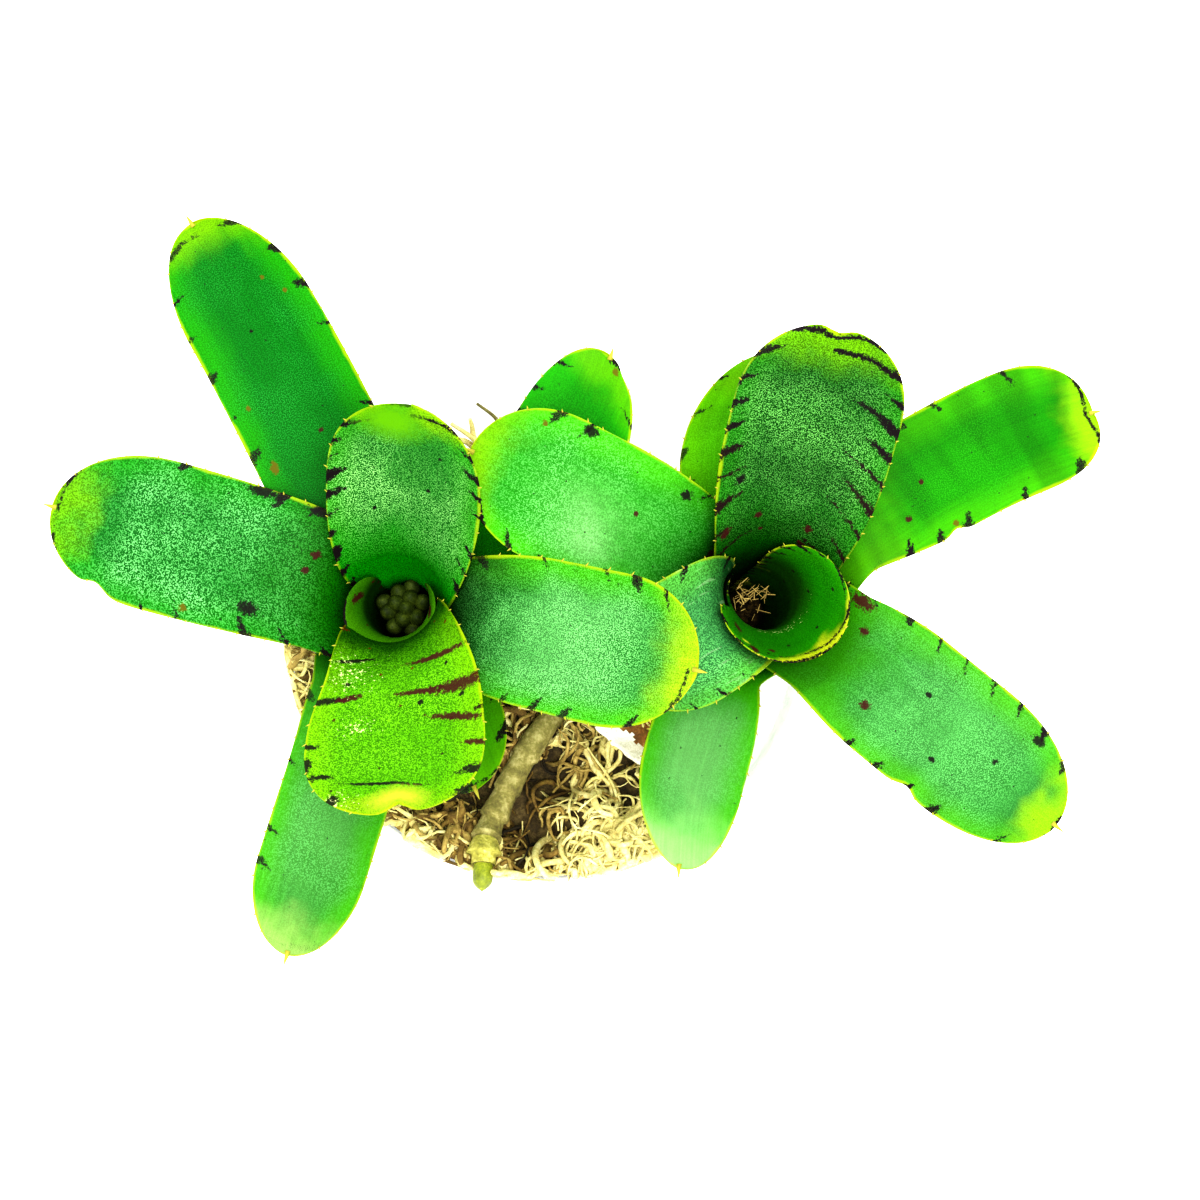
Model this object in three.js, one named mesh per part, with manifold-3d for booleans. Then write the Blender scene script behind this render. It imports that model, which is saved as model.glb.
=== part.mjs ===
// A potted neoregelia bromeliad: two rosettes of spiny strap leaves standing in dry, curly moss in a
// white plastic pot, with a stolon creeping out over the rim. Millimetres, +Z up, origin at the centre
// of the pot's underside, +X towards the right-hand rosette.
import * as THREE from "three";
import { mergeVertices } from "three/addons/utils/BufferGeometryUtils.js";
import Module from "manifold-3d";

const wasm = await Module();
wasm.setup();

// ---------- driving dimensions (mm, degrees) ----------
const POT = {
  height: 125,
  rimRadius: 82.5,
  mouthRadius: 78,
  baseRadius: 57,
  wall: 2,
  floor: 3,
  lipHeight: 17,
  lipStep: 2.4,
  edgeRound: 1,
  sides: 40,
  drainHoles: 5,
  drainRadius: 4.5,
  drainRing: 38,
  drainSides: 12,
};
// The moss stands high at the left and front, and falls away towards the right-hand side and the back
// of the pot. A fall's heading is the way it faces, and its start and end are measured along it.
const MOSS = {
  low: 62,
  high: 118,
  falls: [
    { heading: 21, from: 12, to: 46 },
    { heading: 90, from: 47, to: 68 },
  ],
  ripple: 1.5,
  gap: 0.5,
  rings: 6,
  sides: 32,
};
const CURL = {
  count: 16,
  radius: 1.8,
  sides: 5,
  steps: 6,
  bendRadius: [4, 8],
  span: [200, 320],
  rise: 3,
  sunk: 1.2,
  reach: 64,
  seed: 11,
};
// Leaf sheaths wrap a common tube, one pitch further out for each older leaf.
const SHEATH = { pitch: 1.4, wrap: 85, thick: 0.7 };
const BLADE = { thick: 0.95, edge: 0.65 };
const SPINE = { pitch: 11.5, halfFoot: 1.1, out: 1.3, forward: 0.9 };
const TIP_POINT = 3.2;
const STEM = { radius: 6.6, sides: 20, shoulder: 1.2, clearance: 0.5 };
// A flower head stands on the stem inside the cup: a stalk that widens into a cushion of florets.
const HEAD = { stalk: 3.4, cushion: 6, height: 8, crown: 2, sides: 10, gap: 0.4, fan: 12 };
const BUD = { count: 11, spread: 5, dome: 3, radius: 2.2, stretch: 1.12, sides: 6, rows: 4 };
const STUB = { count: 13, spread: 4.4, dome: 2, radius: 1.2, height: [4, 9], splay: 35, sides: 5, seed: 5 };

// A rosette's base is where its sheaths spring from the stem; lean tips it about X, then about Y.
const LEFT = {
  name: "left",
  base: [-28, -6, 98],
  lean: [0, -8],
  tube: 82,
  foot: 7.5,
  mouth: 9.5,
  rooted: 26,
  stemTop: 18,
  headTop: 77,
};
const RIGHT = {
  name: "right",
  base: [47.5, -2, 95],
  lean: [0, 10],
  tube: 75,
  foot: 7.5,
  mouth: 10,
  rooted: 44,
  stemTop: 18,
  headTop: 58,
};

// What a leaf has unless its own row says otherwise. rise is the blade's angle above level and drop
// how far below the tube's mouth it turns out; neck, full, flat, channel, wave and blend are shares.
const STRAP = {
  bend: 40,
  sweep: 0,
  neck: 0.75,
  full: 0.55,
  tip: 1.15,
  round: 2.2,
  flat: 2,
  channel: 0.12,
  wave: 0.5,
  blend: 0.3,
  wrap: SHEATH.wrap,
  columns: 6,
};
// The youngest leaf of a rosette is still rolled, and forms the wall of its cup.
const ROLLED = { neck: 1, flat: 1, channel: 0, wave: 0, tip: 0.8, columns: 12 };
const BROAD = { full: 0.6, channel: 0.05, flat: 2.4, tip: 0.95, round: 2.6 };
const UPRIGHT = { ...BROAD, bend: 28, neck: 0.7, tip: 1.2 };
const LONG = { full: 0.9, tip: 1.65, round: 1.95 };
const SLIM = { full: 0.6, tip: 1.6, round: 1.8 };
// Youngest first, so each row's place is also its layer round the tube.
const LEFT_LEAVES = [
  { azimuth: 262, length: 18, halfWidth: 22, rise: 70, drop: 0, ...ROLLED, bend: 30, wrap: 135, blend: 0.5 },
  { azimuth: 281.5, length: 80.5, halfWidth: 24.5, rise: 33, drop: 2, ...BROAD, neck: 0.62, full: 0.65 },
  { azimuth: 72.5, length: 66, halfWidth: 22.5, rise: 50, drop: 3.5, ...UPRIGHT },
  { azimuth: 343.7, length: 98, halfWidth: 20.3, rise: 18, drop: 7, neck: 0.62 },
  { azimuth: 164.6, length: 97.5, halfWidth: 21, rise: 12, drop: 10, neck: 0.92, full: 0.65, tip: 1.4 },
  { azimuth: 114, length: 119.5, halfWidth: 18.3, rise: 10, drop: 13, sweep: 3.5, ...LONG, neck: 1.05 },
  { azimuth: 255, length: 98, halfWidth: 15.2, rise: 6, drop: 16, neck: 1.2, tip: 1.4, round: 1.85 },
  { azimuth: 35, length: 87, halfWidth: 17.8, rise: 2, drop: 19.5, sweep: 13.5, tip: 1.4, round: 1.9 },
  { azimuth: 293.5, length: 51, halfWidth: 16, rise: 2, drop: 22 },
];
const RIGHT_LEAVES = [
  { azimuth: 287, length: 33, halfWidth: 30, rise: 56, drop: 0, ...ROLLED, bend: 22, wrap: 164, blend: 0.94 },
  { azimuth: 213, length: 61, halfWidth: 18, rise: 14, drop: 2, neck: 0.9, channel: 0.15 },
  { azimuth: 81.5, length: 82.5, halfWidth: 23, rise: 36, drop: 4, ...BROAD, tip: 1.05 },
  { azimuth: 317.7, length: 102.5, halfWidth: 19.8, rise: 14, drop: 7, neck: 0.64, full: 0.5, tip: 1.55 },
  { azimuth: 159, length: 94, halfWidth: 21, rise: 10.3, drop: 9, neck: 0.7, full: 0.6 },
  { azimuth: 38.6, length: 106.5, halfWidth: 18, rise: 8, drop: 12, sweep: -9, neck: 0.45, tip: 1.4 },
  { azimuth: 242.5, length: 78, halfWidth: 15, rise: 2, drop: 15, sweep: 9, neck: 0.45, ...SLIM },
  { azimuth: 111.5, length: 66, halfWidth: 15, rise: 2, drop: 18, sweep: -24, ...SLIM, tip: 2 },
];

// The creeping stem: from the left-hand stem up through the moss, then over the front rim.
const STOLON = {
  path: [
    [-17, -7, 79],
    [-6, -11, 84],
    [3, -17, 95],
    [4, -24, 110],
    [0, -31, 119.5],
    [-7.5, -43, 121.5],
    [-13, -54, 122],
    [-16.8, -63, 124.3],
    [-18, -68.5, 127.3],
    [-18.3, -74, 128.6],
  ],
  radius: 3.6,
  sides: 8,
  steps: 14,
  // share of the path, and the radius that the bract flares to
  bracts: [
    [0.5, 4.4],
    [0.7, 4.9],
    [0.9, 5.4],
  ],
  bractLength: 9,
  bractEdge: 0.5,
  budRadius: 2.6,
  budLength: 8,
  budSunk: 3,
};
const AERIAL_ROOT = {
  path: [
    [-10, 44, 104],
    [-11.5, 51, 111],
    [-13.3, 58, 118],
    [-16, 62.5, 123],
    [-21.5, 66, 127],
  ],
  radius: 1,
  sides: 6,
  steps: 8,
};
// Withered leaf ends lie on the moss, this far above it; [x, y] points run along each midrib.
const DEAD_LEAVES = {
  dead_leaf_left: { path: [[-51, -9], [-58, -10], [-65, -12], [-71, -14]], halfWidth: 7, arch: 2 },
  dead_leaf_right: { path: [[20, -27], [25, -32], [30, -37.5], [35, -43]], halfWidth: 8, arch: -2 },
};
const LITTER = { above: 1.6, thick: 0.8, columns: 4, rows: 8, clearance: 0.5 };

const COLOURS = {
  pot: "#f4f5f2",
  moss: "#b9a070",
  stem: "#8a7448",
  leaf: "#3fa62b",
  bud: "#6b7a24",
  spent: "#6e5526",
  stolon: "#a58c58",
  root: "#7d7440",
  dead: "#a5692f",
};

const UP = new THREE.Vector3(0, 0, 1);
const GRAIN = 1e-3; // vertices closer than this are one
const { degToRad: rad, clamp, lerp, smoothstep } = THREE.MathUtils;

// ---------- solids ----------
function solidFrom(positions, faces) {
  const made = new wasm.Manifold(
    new wasm.Mesh({
      numProp: 3,
      vertProperties: new Float32Array(positions),
      triVerts: new Uint32Array(faces),
    }),
  );
  if (made.volume() > 0) return made;
  const turnedRound = faces.map((_, i) => faces[i + 2 - 2 * (i % 3)]);
  return solidFrom(positions, turnedRound);
}

function toSolid(geometry) {
  const bare = geometry.index ? geometry.toNonIndexed() : geometry.clone();
  bare.deleteAttribute("normal");
  bare.deleteAttribute("uv");
  const merged = mergeVertices(bare, GRAIN);
  return solidFrom(Array.from(merged.attributes.position.array), Array.from(merged.index.array));
}

function toGeometry(solid) {
  const mesh = solid.getMesh();
  const geometry = new THREE.BufferGeometry();
  geometry.setAttribute("position", new THREE.BufferAttribute(mesh.vertProperties, 3));
  geometry.setIndex(new THREE.BufferAttribute(mesh.triVerts, 1));
  geometry.computeVertexNormals();
  return geometry;
}

// The biggest body of a solid that a cut may have left with loose scraps.
function mainBody(solid) {
  return solid.decompose().sort((a, b) => b.volume() - a.volume())[0];
}

// A lathe about +Z from [radius, height] pairs that start and end on the axis.
function turnedAboutZ(profile, sides) {
  const points = profile.map(([r, z]) => new THREE.Vector2(r, z));
  return toSolid(new THREE.LatheGeometry(points, sides).rotateX(Math.PI / 2));
}

// A round rod of the same radius all the way along a smooth path.
function rodAlong(path, radius, sides, steps) {
  const section = new THREE.Shape(
    Array.from({ length: sides }, (_, i) => {
      const turn = (2 * Math.PI * i) / sides;
      return new THREE.Vector2(radius * Math.cos(turn), radius * Math.sin(turn));
    }),
  );
  return toSolid(new THREE.ExtrudeGeometry(section, { steps, bevelEnabled: false, extrudePath: path }));
}

const smoothPath = (points) => new THREE.CatmullRomCurve3(points.map((p) => new THREE.Vector3(...p)));

// Turns a solid that stands on the origin along +Z to stand at a point along a heading.
function standAt(solid, point, heading) {
  const turn = new THREE.Quaternion().setFromUnitVectors(UP, heading.clone().normalize());
  return solid.transform(new THREE.Matrix4().compose(point, turn, new THREE.Vector3(1, 1, 1)).elements);
}

function seeded(seed) {
  let state = seed;
  return (low, high) => {
    state = (state * 16807) % 2147483647;
    return low + ((high - low) * state) / 2147483647;
  };
}

// ---------- thin sheets ----------
// Closes a grid of middle points, rows along and columns across, into a sheet of the given thickness,
// with both faces split alike. Rows marked as spines carry a small tooth on each margin up to the next.
function sheetSolid(grid, thickness, spines = [], point = null) {
  const columns = grid[0].length - 1;
  const points = [];
  const faces = [];
  const add = (vector) => points.push(vector) - 1;
  const quad = (a, b, c, d) => faces.push(a, b, c, a, c, d);
  const near = (list, i) => list[clamp(i, 0, list.length - 1)];
  const rows = grid.map((row, i) => {
    const pairs = row.map((middle, j) => {
      const along = near(grid, i + 1)[j].clone().sub(near(grid, i - 1)[j]);
      const across = near(row, j + 1).clone().sub(near(row, j - 1));
      const normal = along.cross(across).normalize().multiplyScalar(thickness(i, j) / 2);
      return [add(middle.clone().add(normal)), add(middle.clone().sub(normal))];
    });
    return { top: pairs.map(([top]) => top), under: pairs.map(([, under]) => under) };
  });
  const tooth = (i, edge, inner) => {
    const foot = grid[i][edge].clone().lerp(grid[i + 1][edge], 0.5);
    const out = foot.clone().sub(grid[i][inner].clone().lerp(grid[i + 1][inner], 0.5)).normalize();
    const forward = grid[i + 1][edge].clone().sub(grid[i][edge]).normalize();
    return add(foot.addScaledVector(out, SPINE.out).addScaledVector(forward, SPINE.forward));
  };
  rows.slice(0, -1).forEach((a, i) => {
    const b = rows[i + 1];
    for (let j = 0; j < columns; j++) {
      quad(a.top[j], b.top[j], b.top[j + 1], a.top[j + 1]);
      quad(a.under[j], a.under[j + 1], b.under[j + 1], b.under[j]);
    }
    const margins = [
      [[a.under[0], b.under[0], b.top[0], a.top[0]], 0, 1],
      [[a.top[columns], b.top[columns], b.under[columns], a.under[columns]], columns, columns - 1],
    ];
    margins.forEach(([ring, edge, inner]) => {
      if (!spines[i]) return quad(...ring);
      const apex = tooth(i, edge, inner);
      ring.forEach((corner, k) => faces.push(corner, ring[(k + 1) % 4], apex));
    });
  });
  const first = rows[0];
  const last = rows[rows.length - 1];
  for (let j = 0; j < columns; j++) {
    quad(first.under[j], first.top[j], first.top[j + 1], first.under[j + 1]);
    if (!point) quad(last.top[j], last.under[j], last.under[j + 1], last.top[j + 1]);
  }
  if (point) {
    const rim = [...last.top, ...[...last.under].reverse()];
    const apex = add(point);
    rim.forEach((corner, k) => faces.push(corner, apex, rim[(k + 1) % rim.length]));
  }
  return solidFrom(points.flatMap((p) => p.toArray()), faces);
}

// ---------- leaves ----------
const tubeRadius = (rosette, z) => lerp(rosette.foot, rosette.mouth, smoothstep(z, 0, 0.85 * rosette.tube));

// A leaf's midrib as radius and height in the rosette: up the tube, then bending out into the blade.
function midrib(rosette, leaf, layer) {
  const tubeSteps = 40;
  const bladeSteps = 200;
  const rows = [];
  let length = 0;
  for (let i = 0; i <= tubeSteps; i++) {
    const z = ((rosette.tube - leaf.drop) * i) / tubeSteps;
    const r = tubeRadius(rosette, z) + layer * SHEATH.pitch;
    const lean = Math.atan(tubeRadius(rosette, z + 0.5) - tubeRadius(rosette, z - 0.5));
    if (i) length += Math.hypot(r - rows[i - 1].r, z - rows[i - 1].z);
    rows.push({ r, z, lean, s: length });
  }
  const start = rows[tubeSteps];
  const step = leaf.length / bladeSteps;
  let { r, z } = start;
  for (let i = 1; i <= bladeSteps; i++) {
    const lean = lerp(start.lean, rad(90 - leaf.rise), smoothstep((i - 0.5) * step, 0, leaf.bend));
    r += Math.sin(lean) * step;
    z += Math.cos(lean) * step;
    rows.push({ r, z, lean, s: length + i * step });
  }
  return { rows, tubeLength: length, total: length + leaf.length };
}

function onMidrib({ rows }, s) {
  const after = rows.findIndex((row) => row.s >= s);
  const i = after < 0 ? rows.length - 1 : Math.max(after, 1);
  const share = (s - rows[i - 1].s) / (rows[i].s - rows[i - 1].s);
  return {
    r: lerp(rows[i - 1].r, rows[i].r, share),
    z: lerp(rows[i - 1].z, rows[i].z, share),
    lean: lerp(rows[i - 1].lean, rows[i].lean, share),
  };
}

// Half the leaf's width: a sheath wrapped round the tube turns into a strap with a round tip.
function halfWidthAt(leaf, u, r) {
  const tipShare = Math.min((leaf.tip * leaf.halfWidth) / leaf.length, 0.6);
  const body = lerp(leaf.neck, 1, smoothstep(u, 0, leaf.full));
  const intoTip = clamp((u - 1 + tipShare) / tipShare, 0, 1);
  const strap = leaf.halfWidth * body * Math.sqrt(1 - intoTip ** leaf.round);
  return lerp(rad(leaf.wrap) * r, strap, smoothstep(u, 0, leaf.blend));
}

// A point of the leaf's middle surface: s along the midrib, t from -1 to 1 across.
function leafPoint(leaf, rib, s, t) {
  const { r, z, lean } = onMidrib(rib, s);
  const u = clamp((s - rib.tubeLength) / leaf.length, 0, 1);
  const half = halfWidthAt(leaf, u, r);
  const bow = r * lerp(1, leaf.flat, smoothstep(u, 0, 0.8));
  const turn = (t * half) / bow;
  const atMargin = leaf.wave * smoothstep(u, 0.2, 0.6) * Math.abs(t) ** 3;
  const ripple = atMargin * Math.sin(9 * u + leaf.azimuth + 2 * t);
  const lift = leaf.channel * smoothstep(u, 0.05, 0.5) * half * t * t + ripple;
  const out = r - bow * (1 - Math.cos(turn)) - Math.cos(lean) * lift;
  const side = bow * Math.sin(turn);
  const angle = rad(leaf.azimuth) + rad(leaf.sweep) * u * u;
  return new THREE.Vector3(
    out * Math.cos(angle) - side * Math.sin(angle),
    out * Math.sin(angle) + side * Math.cos(angle),
    z + Math.sin(lean) * lift,
  );
}

// Stations along the leaf: a few up the tube, then a close pair at the foot of each spine.
function leafStations(leaf, rib) {
  const tip = Math.min(leaf.tip * leaf.halfWidth, 0.6 * leaf.length);
  const strap = leaf.length - tip;
  const spines = Math.max(1, Math.round(strap / SPINE.pitch));
  const tube = [0, 0.4, 0.8].map((share) => ({ s: share * rib.tubeLength, spine: false }));
  const blade = Array.from({ length: spines }, (_, i) => rib.tubeLength + (strap * (i + 0.5)) / spines);
  const pairs = blade.flatMap((s) => [
    { s: s - SPINE.halfFoot, spine: true },
    { s: s + SPINE.halfFoot, spine: false },
  ]);
  const round = [0.28, 0.42, 0.72, 0.82, 0.95, 0.99].map((share, i) => ({
    s: rib.tubeLength + strap + tip * share,
    spine: i % 2 === 0,
  }));
  return [...tube, ...pairs, ...round];
}

function leafSolid(rosette, given, layer) {
  const leaf = { ...STRAP, ...given };
  const rib = midrib(rosette, leaf, layer);
  const stations = leafStations(leaf, rib);
  const across = Array.from({ length: leaf.columns + 1 }, (_, j) => -1 + (2 * j) / leaf.columns);
  const grid = stations.map(({ s }) => across.map((t) => leafPoint(leaf, rib, s, t)));
  const thickness = (i, j) => {
    const onBlade = smoothstep(stations[i].s - rib.tubeLength, 0.15 * leaf.length, 0.4 * leaf.length);
    return lerp(lerp(SHEATH.thick, BLADE.thick, onBlade), BLADE.edge, across[j] ** 4);
  };
  const end = leafPoint(leaf, rib, rib.total, 0);
  const heading = end.clone().sub(leafPoint(leaf, rib, rib.total - TIP_POINT, 0)).normalize();
  const spines = stations.map(({ spine }) => spine);
  return sheetSolid(grid, thickness, spines, end.addScaledVector(heading, TIP_POINT));
}

// ---------- pot ----------
const innerWallAt = (z) => lerp(POT.baseRadius - POT.wall, POT.mouthRadius, z / POT.height);

function potSolid() {
  const underLip = POT.height - POT.lipHeight;
  const wallUnderLip = innerWallAt(underLip) + POT.wall;
  const shell = turnedAboutZ(
    [
      [0, 0],
      [POT.baseRadius - POT.edgeRound, 0],
      [POT.baseRadius, POT.edgeRound],
      [wallUnderLip, underLip],
      [wallUnderLip + POT.lipStep, underLip + POT.edgeRound],
      [POT.rimRadius, POT.height - POT.edgeRound],
      [POT.rimRadius - POT.edgeRound, POT.height],
      [POT.mouthRadius + POT.edgeRound, POT.height],
      [POT.mouthRadius, POT.height - POT.edgeRound],
      [innerWallAt(POT.floor), POT.floor],
      [0, POT.floor],
    ],
    POT.sides,
  );
  const [below, above] = [-1, POT.floor + 1];
  const bore = [[0, below], [POT.drainRadius, below], [POT.drainRadius, above], [0, above]];
  const drill = turnedAboutZ(bore, POT.drainSides);
  const turns = Array.from({ length: POT.drainHoles }, (_, i) => rad((360 * i) / POT.drainHoles));
  return turns.reduce((pot, turn) => {
    const [x, y] = [POT.drainRing * Math.cos(turn), POT.drainRing * Math.sin(turn)];
    return pot.subtract(drill.translate(x, y, 0));
  }, shell);
}

// ---------- moss ----------
function mossHeight(x, y) {
  const left = MOSS.falls.map(({ heading, from, to }) => {
    const along = x * Math.cos(rad(heading)) + y * Math.sin(rad(heading));
    return 1 - smoothstep(along, from, to);
  });
  const ripple = Math.sin(x / 6.1 + 1.3 * Math.sin(y / 8.3)) * Math.sin(y / 5.3 + 0.7);
  return lerp(MOSS.low, MOSS.high, left.reduce((a, b) => a * b)) + MOSS.ripple * ripple;
}

// The radius at which the moss meets the pot's wall in a direction, found where the two heights agree.
function mossReach(turn) {
  let radius = POT.mouthRadius;
  for (let i = 0; i < 20; i++) {
    radius = innerWallAt(mossHeight(radius * Math.cos(turn), radius * Math.sin(turn))) - MOSS.gap;
  }
  return radius;
}

function mossBody() {
  const bottom = POT.floor + MOSS.gap;
  const points = [];
  const faces = [];
  const add = (x, y, z) => points.push(x, y, z) / 3 - 1;
  const loops = Array.from({ length: MOSS.rings + 1 }, () => []);
  for (let k = 0; k < MOSS.sides; k++) {
    const turn = (2 * Math.PI * k) / MOSS.sides;
    const foot = innerWallAt(bottom) - MOSS.gap;
    loops[0].push(add(foot * Math.cos(turn), foot * Math.sin(turn), bottom));
    for (let i = MOSS.rings; i > 0; i--) {
      const x = (mossReach(turn) * Math.cos(turn) * i) / MOSS.rings;
      const y = (mossReach(turn) * Math.sin(turn) * i) / MOSS.rings;
      loops[MOSS.rings + 1 - i].push(add(x, y, mossHeight(x, y)));
    }
  }
  const underMiddle = add(0, 0, bottom);
  const topMiddle = add(0, 0, mossHeight(0, 0));
  for (let k = 0; k < MOSS.sides; k++) {
    const next = (k + 1) % MOSS.sides;
    faces.push(underMiddle, loops[0][next], loops[0][k]);
    loops.slice(0, -1).forEach((a, i) => {
      const b = loops[i + 1];
      faces.push(a[k], a[next], b[next], a[k], b[next], b[k]);
    });
    faces.push(loops[MOSS.rings][k], loops[MOSS.rings][next], topMiddle);
  }
  return solidFrom(points, faces);
}

// A curl of moss: an arc lying on the moss with both ends sunk in it.
function curlSolid(random) {
  const place = random(0, 2 * Math.PI);
  const away = CURL.reach * Math.sqrt(random(0, 1));
  const bend = random(...CURL.bendRadius);
  const start = random(0, 2 * Math.PI);
  const span = rad(random(...CURL.span));
  const points = Array.from({ length: CURL.steps + 1 }, (_, i) => {
    const share = i / CURL.steps;
    const x = away * Math.cos(place) + bend * Math.cos(start + share * span);
    const y = away * Math.sin(place) + bend * Math.sin(start + share * span);
    return [x, y, mossHeight(x, y) - CURL.sunk + CURL.rise * Math.sin(Math.PI * share)];
  });
  return rodAlong(smoothPath(points), CURL.radius, CURL.sides, CURL.steps);
}

// Plain holes for a rosette: a wide one that its sheaths stand in and a narrow one for its stem.
function stemHoles(rosette, leaves) {
  const sheaths = rosette.foot + leaves.length * SHEATH.pitch;
  const stem = STEM.radius + STEM.clearance;
  const bottom = -rosette.rooted - STEM.clearance;
  const profile = [
    [0, bottom],
    [stem, bottom],
    [stem, -STEM.clearance],
    [sheaths, -STEM.clearance],
    [sheaths, 0.6 * rosette.tube],
    [0, 0.6 * rosette.tube],
  ];
  return turnedAboutZ(profile, STEM.sides).transform(rosetteFrame(rosette).matrix.elements);
}

function mossSolid() {
  const random = seeded(CURL.seed);
  const wall = turnedAboutZ(
    [
      [0, 0],
      [innerWallAt(0) - MOSS.gap, 0],
      [innerWallAt(POT.height) - MOSS.gap, POT.height],
      [0, POT.height],
    ],
    MOSS.sides,
  );
  let moss = mossBody();
  for (let i = 0; i < CURL.count; i++) moss = moss.add(curlSolid(random));
  const cuts = [
    stemHoles(LEFT, LEFT_LEAVES),
    stemHoles(RIGHT, RIGHT_LEAVES),
    stolonSolid(LITTER.clearance),
    aerialRootSolid(LITTER.clearance),
    ...Object.values(DEAD_LEAVES).map((leaf) => deadLeafSolid(leaf, LITTER.clearance)),
  ];
  const cut = cuts.reduce((solid, clearance) => solid.subtract(clearance), moss);
  return mainBody(cut.intersect(wall));
}

// ---------- stems, flowers, stolon, litter ----------
function rosetteFrame(rosette) {
  const group = new THREE.Group();
  group.position.set(...rosette.base);
  group.rotation.set(rad(rosette.lean[0]), rad(rosette.lean[1]), 0);
  group.updateMatrix();
  return group;
}

function stemSolid(rosette) {
  const { radius, shoulder } = STEM;
  return turnedAboutZ(
    [
      [0, -rosette.rooted],
      [radius - shoulder, -rosette.rooted],
      [radius, -rosette.rooted + shoulder],
      [radius, rosette.stemTop - shoulder],
      [radius - shoulder, rosette.stemTop],
      [0, rosette.stemTop],
    ],
    STEM.sides,
  );
}

// Points on a shallow dome, spread by the golden angle.
function domePlaces({ count, spread, dome }) {
  return Array.from({ length: count }, (_, i) => {
    const share = (i + 0.4) / count;
    const away = spread * Math.sqrt(share);
    const turn = i * rad(137.5);
    return new THREE.Vector3(away * Math.cos(turn), away * Math.sin(turn), dome * (1 - share));
  });
}

// The florets lean outwards, away from a point HEAD.fan below them.
function headSolid(rosette, places, floret) {
  const foot = rosette.stemTop + HEAD.gap;
  const top = rosette.headTop;
  const cushion = [
    [0, foot],
    [HEAD.stalk, foot],
    [HEAD.stalk, top - HEAD.height],
    [HEAD.cushion, top - 1],
    [HEAD.cushion - 2, top + HEAD.crown - 0.6],
    [0, top + HEAD.crown],
  ];
  return places.reduce(
    (head, { x, y, z }) =>
      head.add(standAt(floret(), new THREE.Vector3(x, y, top + z), new THREE.Vector3(x, y, HEAD.fan))),
    turnedAboutZ(cushion, HEAD.sides),
  );
}

function flowerBuds(rosette) {
  const ball = new THREE.SphereGeometry(BUD.radius, BUD.sides, BUD.rows).rotateX(Math.PI / 2);
  const bud = toSolid(ball.scale(1, 1, BUD.stretch));
  return headSolid(rosette, domePlaces(BUD), () => bud);
}

function spentFlowers(rosette) {
  const random = seeded(STUB.seed);
  const stub = () => {
    const height = random(...STUB.height);
    const cone = [[0, -3], [STUB.radius, -2], [0.75 * STUB.radius, height - 1], [0, height]];
    const splay = [random(-STUB.splay, STUB.splay), random(-STUB.splay, STUB.splay), 0];
    return turnedAboutZ(cone, STUB.sides).rotate(splay);
  };
  return headSolid(rosette, domePlaces(STUB), stub);
}

// The stolon with its clasping bracts and the bud at its end, all grown larger by extra.
function stolonSolid(extra) {
  const { radius, sides, steps, bracts, bractLength, bractEdge } = STOLON;
  const { budRadius, budLength, budSunk } = STOLON;
  const path = smoothPath(STOLON.path);
  const bract = (flare) =>
    turnedAboutZ(
      [
        [0, -0.6 * bractLength],
        [radius - bractEdge, -0.6 * bractLength],
        [flare + extra, 0.2 * bractLength],
        [flare - bractEdge + extra, 0.4 * bractLength],
        [0, 0.4 * bractLength],
      ],
      sides,
    );
  const bud = turnedAboutZ(
    [
      [0, -budSunk],
      [budRadius + extra, -budSunk],
      [1.08 * budRadius + extra, 0.2 * budLength],
      [0.6 * budRadius + extra, 0.75 * budLength],
      [0, budLength + extra],
    ],
    sides,
  );
  const rod = rodAlong(path, radius + extra, sides, steps);
  const withBracts = bracts.reduce(
    (solid, [share, flare]) =>
      solid.add(standAt(bract(flare), path.getPointAt(share), path.getTangentAt(share))),
    rod,
  );
  return withBracts.add(standAt(bud, path.getPointAt(1), path.getTangentAt(1)));
}

const aerialRootSolid = (extra) =>
  rodAlong(smoothPath(AERIAL_ROOT.path), AERIAL_ROOT.radius + extra, AERIAL_ROOT.sides, AERIAL_ROOT.steps);

// A withered leaf end that follows the moss, arched up in the middle or curled up at its margins.
function deadLeafSolid({ path, halfWidth, arch }, extra) {
  const spine = smoothPath(path.map(([x, y]) => [x, y, 0]));
  const grid = Array.from({ length: LITTER.rows + 1 }, (_, i) => {
    const share = i / LITTER.rows;
    const tangent = spine.getTangentAt(share);
    const middle = spine.getPointAt(share).addScaledVector(tangent, extra * (2 * share - 1));
    const side = new THREE.Vector3().crossVectors(UP, tangent).normalize();
    const half = (halfWidth + extra) * Math.sqrt(1 - 0.85 * share ** 3);
    return Array.from({ length: LITTER.columns + 1 }, (_, j) => {
      const t = -1 + (2 * j) / LITTER.columns;
      const place = middle.clone().addScaledVector(side, t * half);
      const curl = arch > 0 ? arch * (1 - t * t) : -arch * t * t;
      return place.setZ(mossHeight(place.x, place.y) + LITTER.above + curl);
    });
  });
  return sheetSolid(grid, () => LITTER.thick + 2 * extra);
}

// ---------- assembly ----------
const plant = new THREE.Group();

function addPiece(parent, name, solid, color, roughness) {
  const finish = new THREE.MeshStandardMaterial({ color, roughness, metalness: 0 });
  const mesh = new THREE.Mesh(toGeometry(solid), finish);
  mesh.name = name;
  parent.add(mesh);
}

function addRosette(rosette, leaves, headName, head, headColour) {
  const group = rosetteFrame(rosette);
  addPiece(group, `stem_${rosette.name}`, stemSolid(rosette), COLOURS.stem, 0.8);
  addPiece(group, headName, head(rosette), headColour, 0.7);
  leaves.forEach((leaf, layer) => {
    addPiece(group, `leaf_${rosette.name}_${layer + 1}`, leafSolid(rosette, leaf, layer), COLOURS.leaf, 0.45);
  });
  plant.add(group);
}

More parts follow.
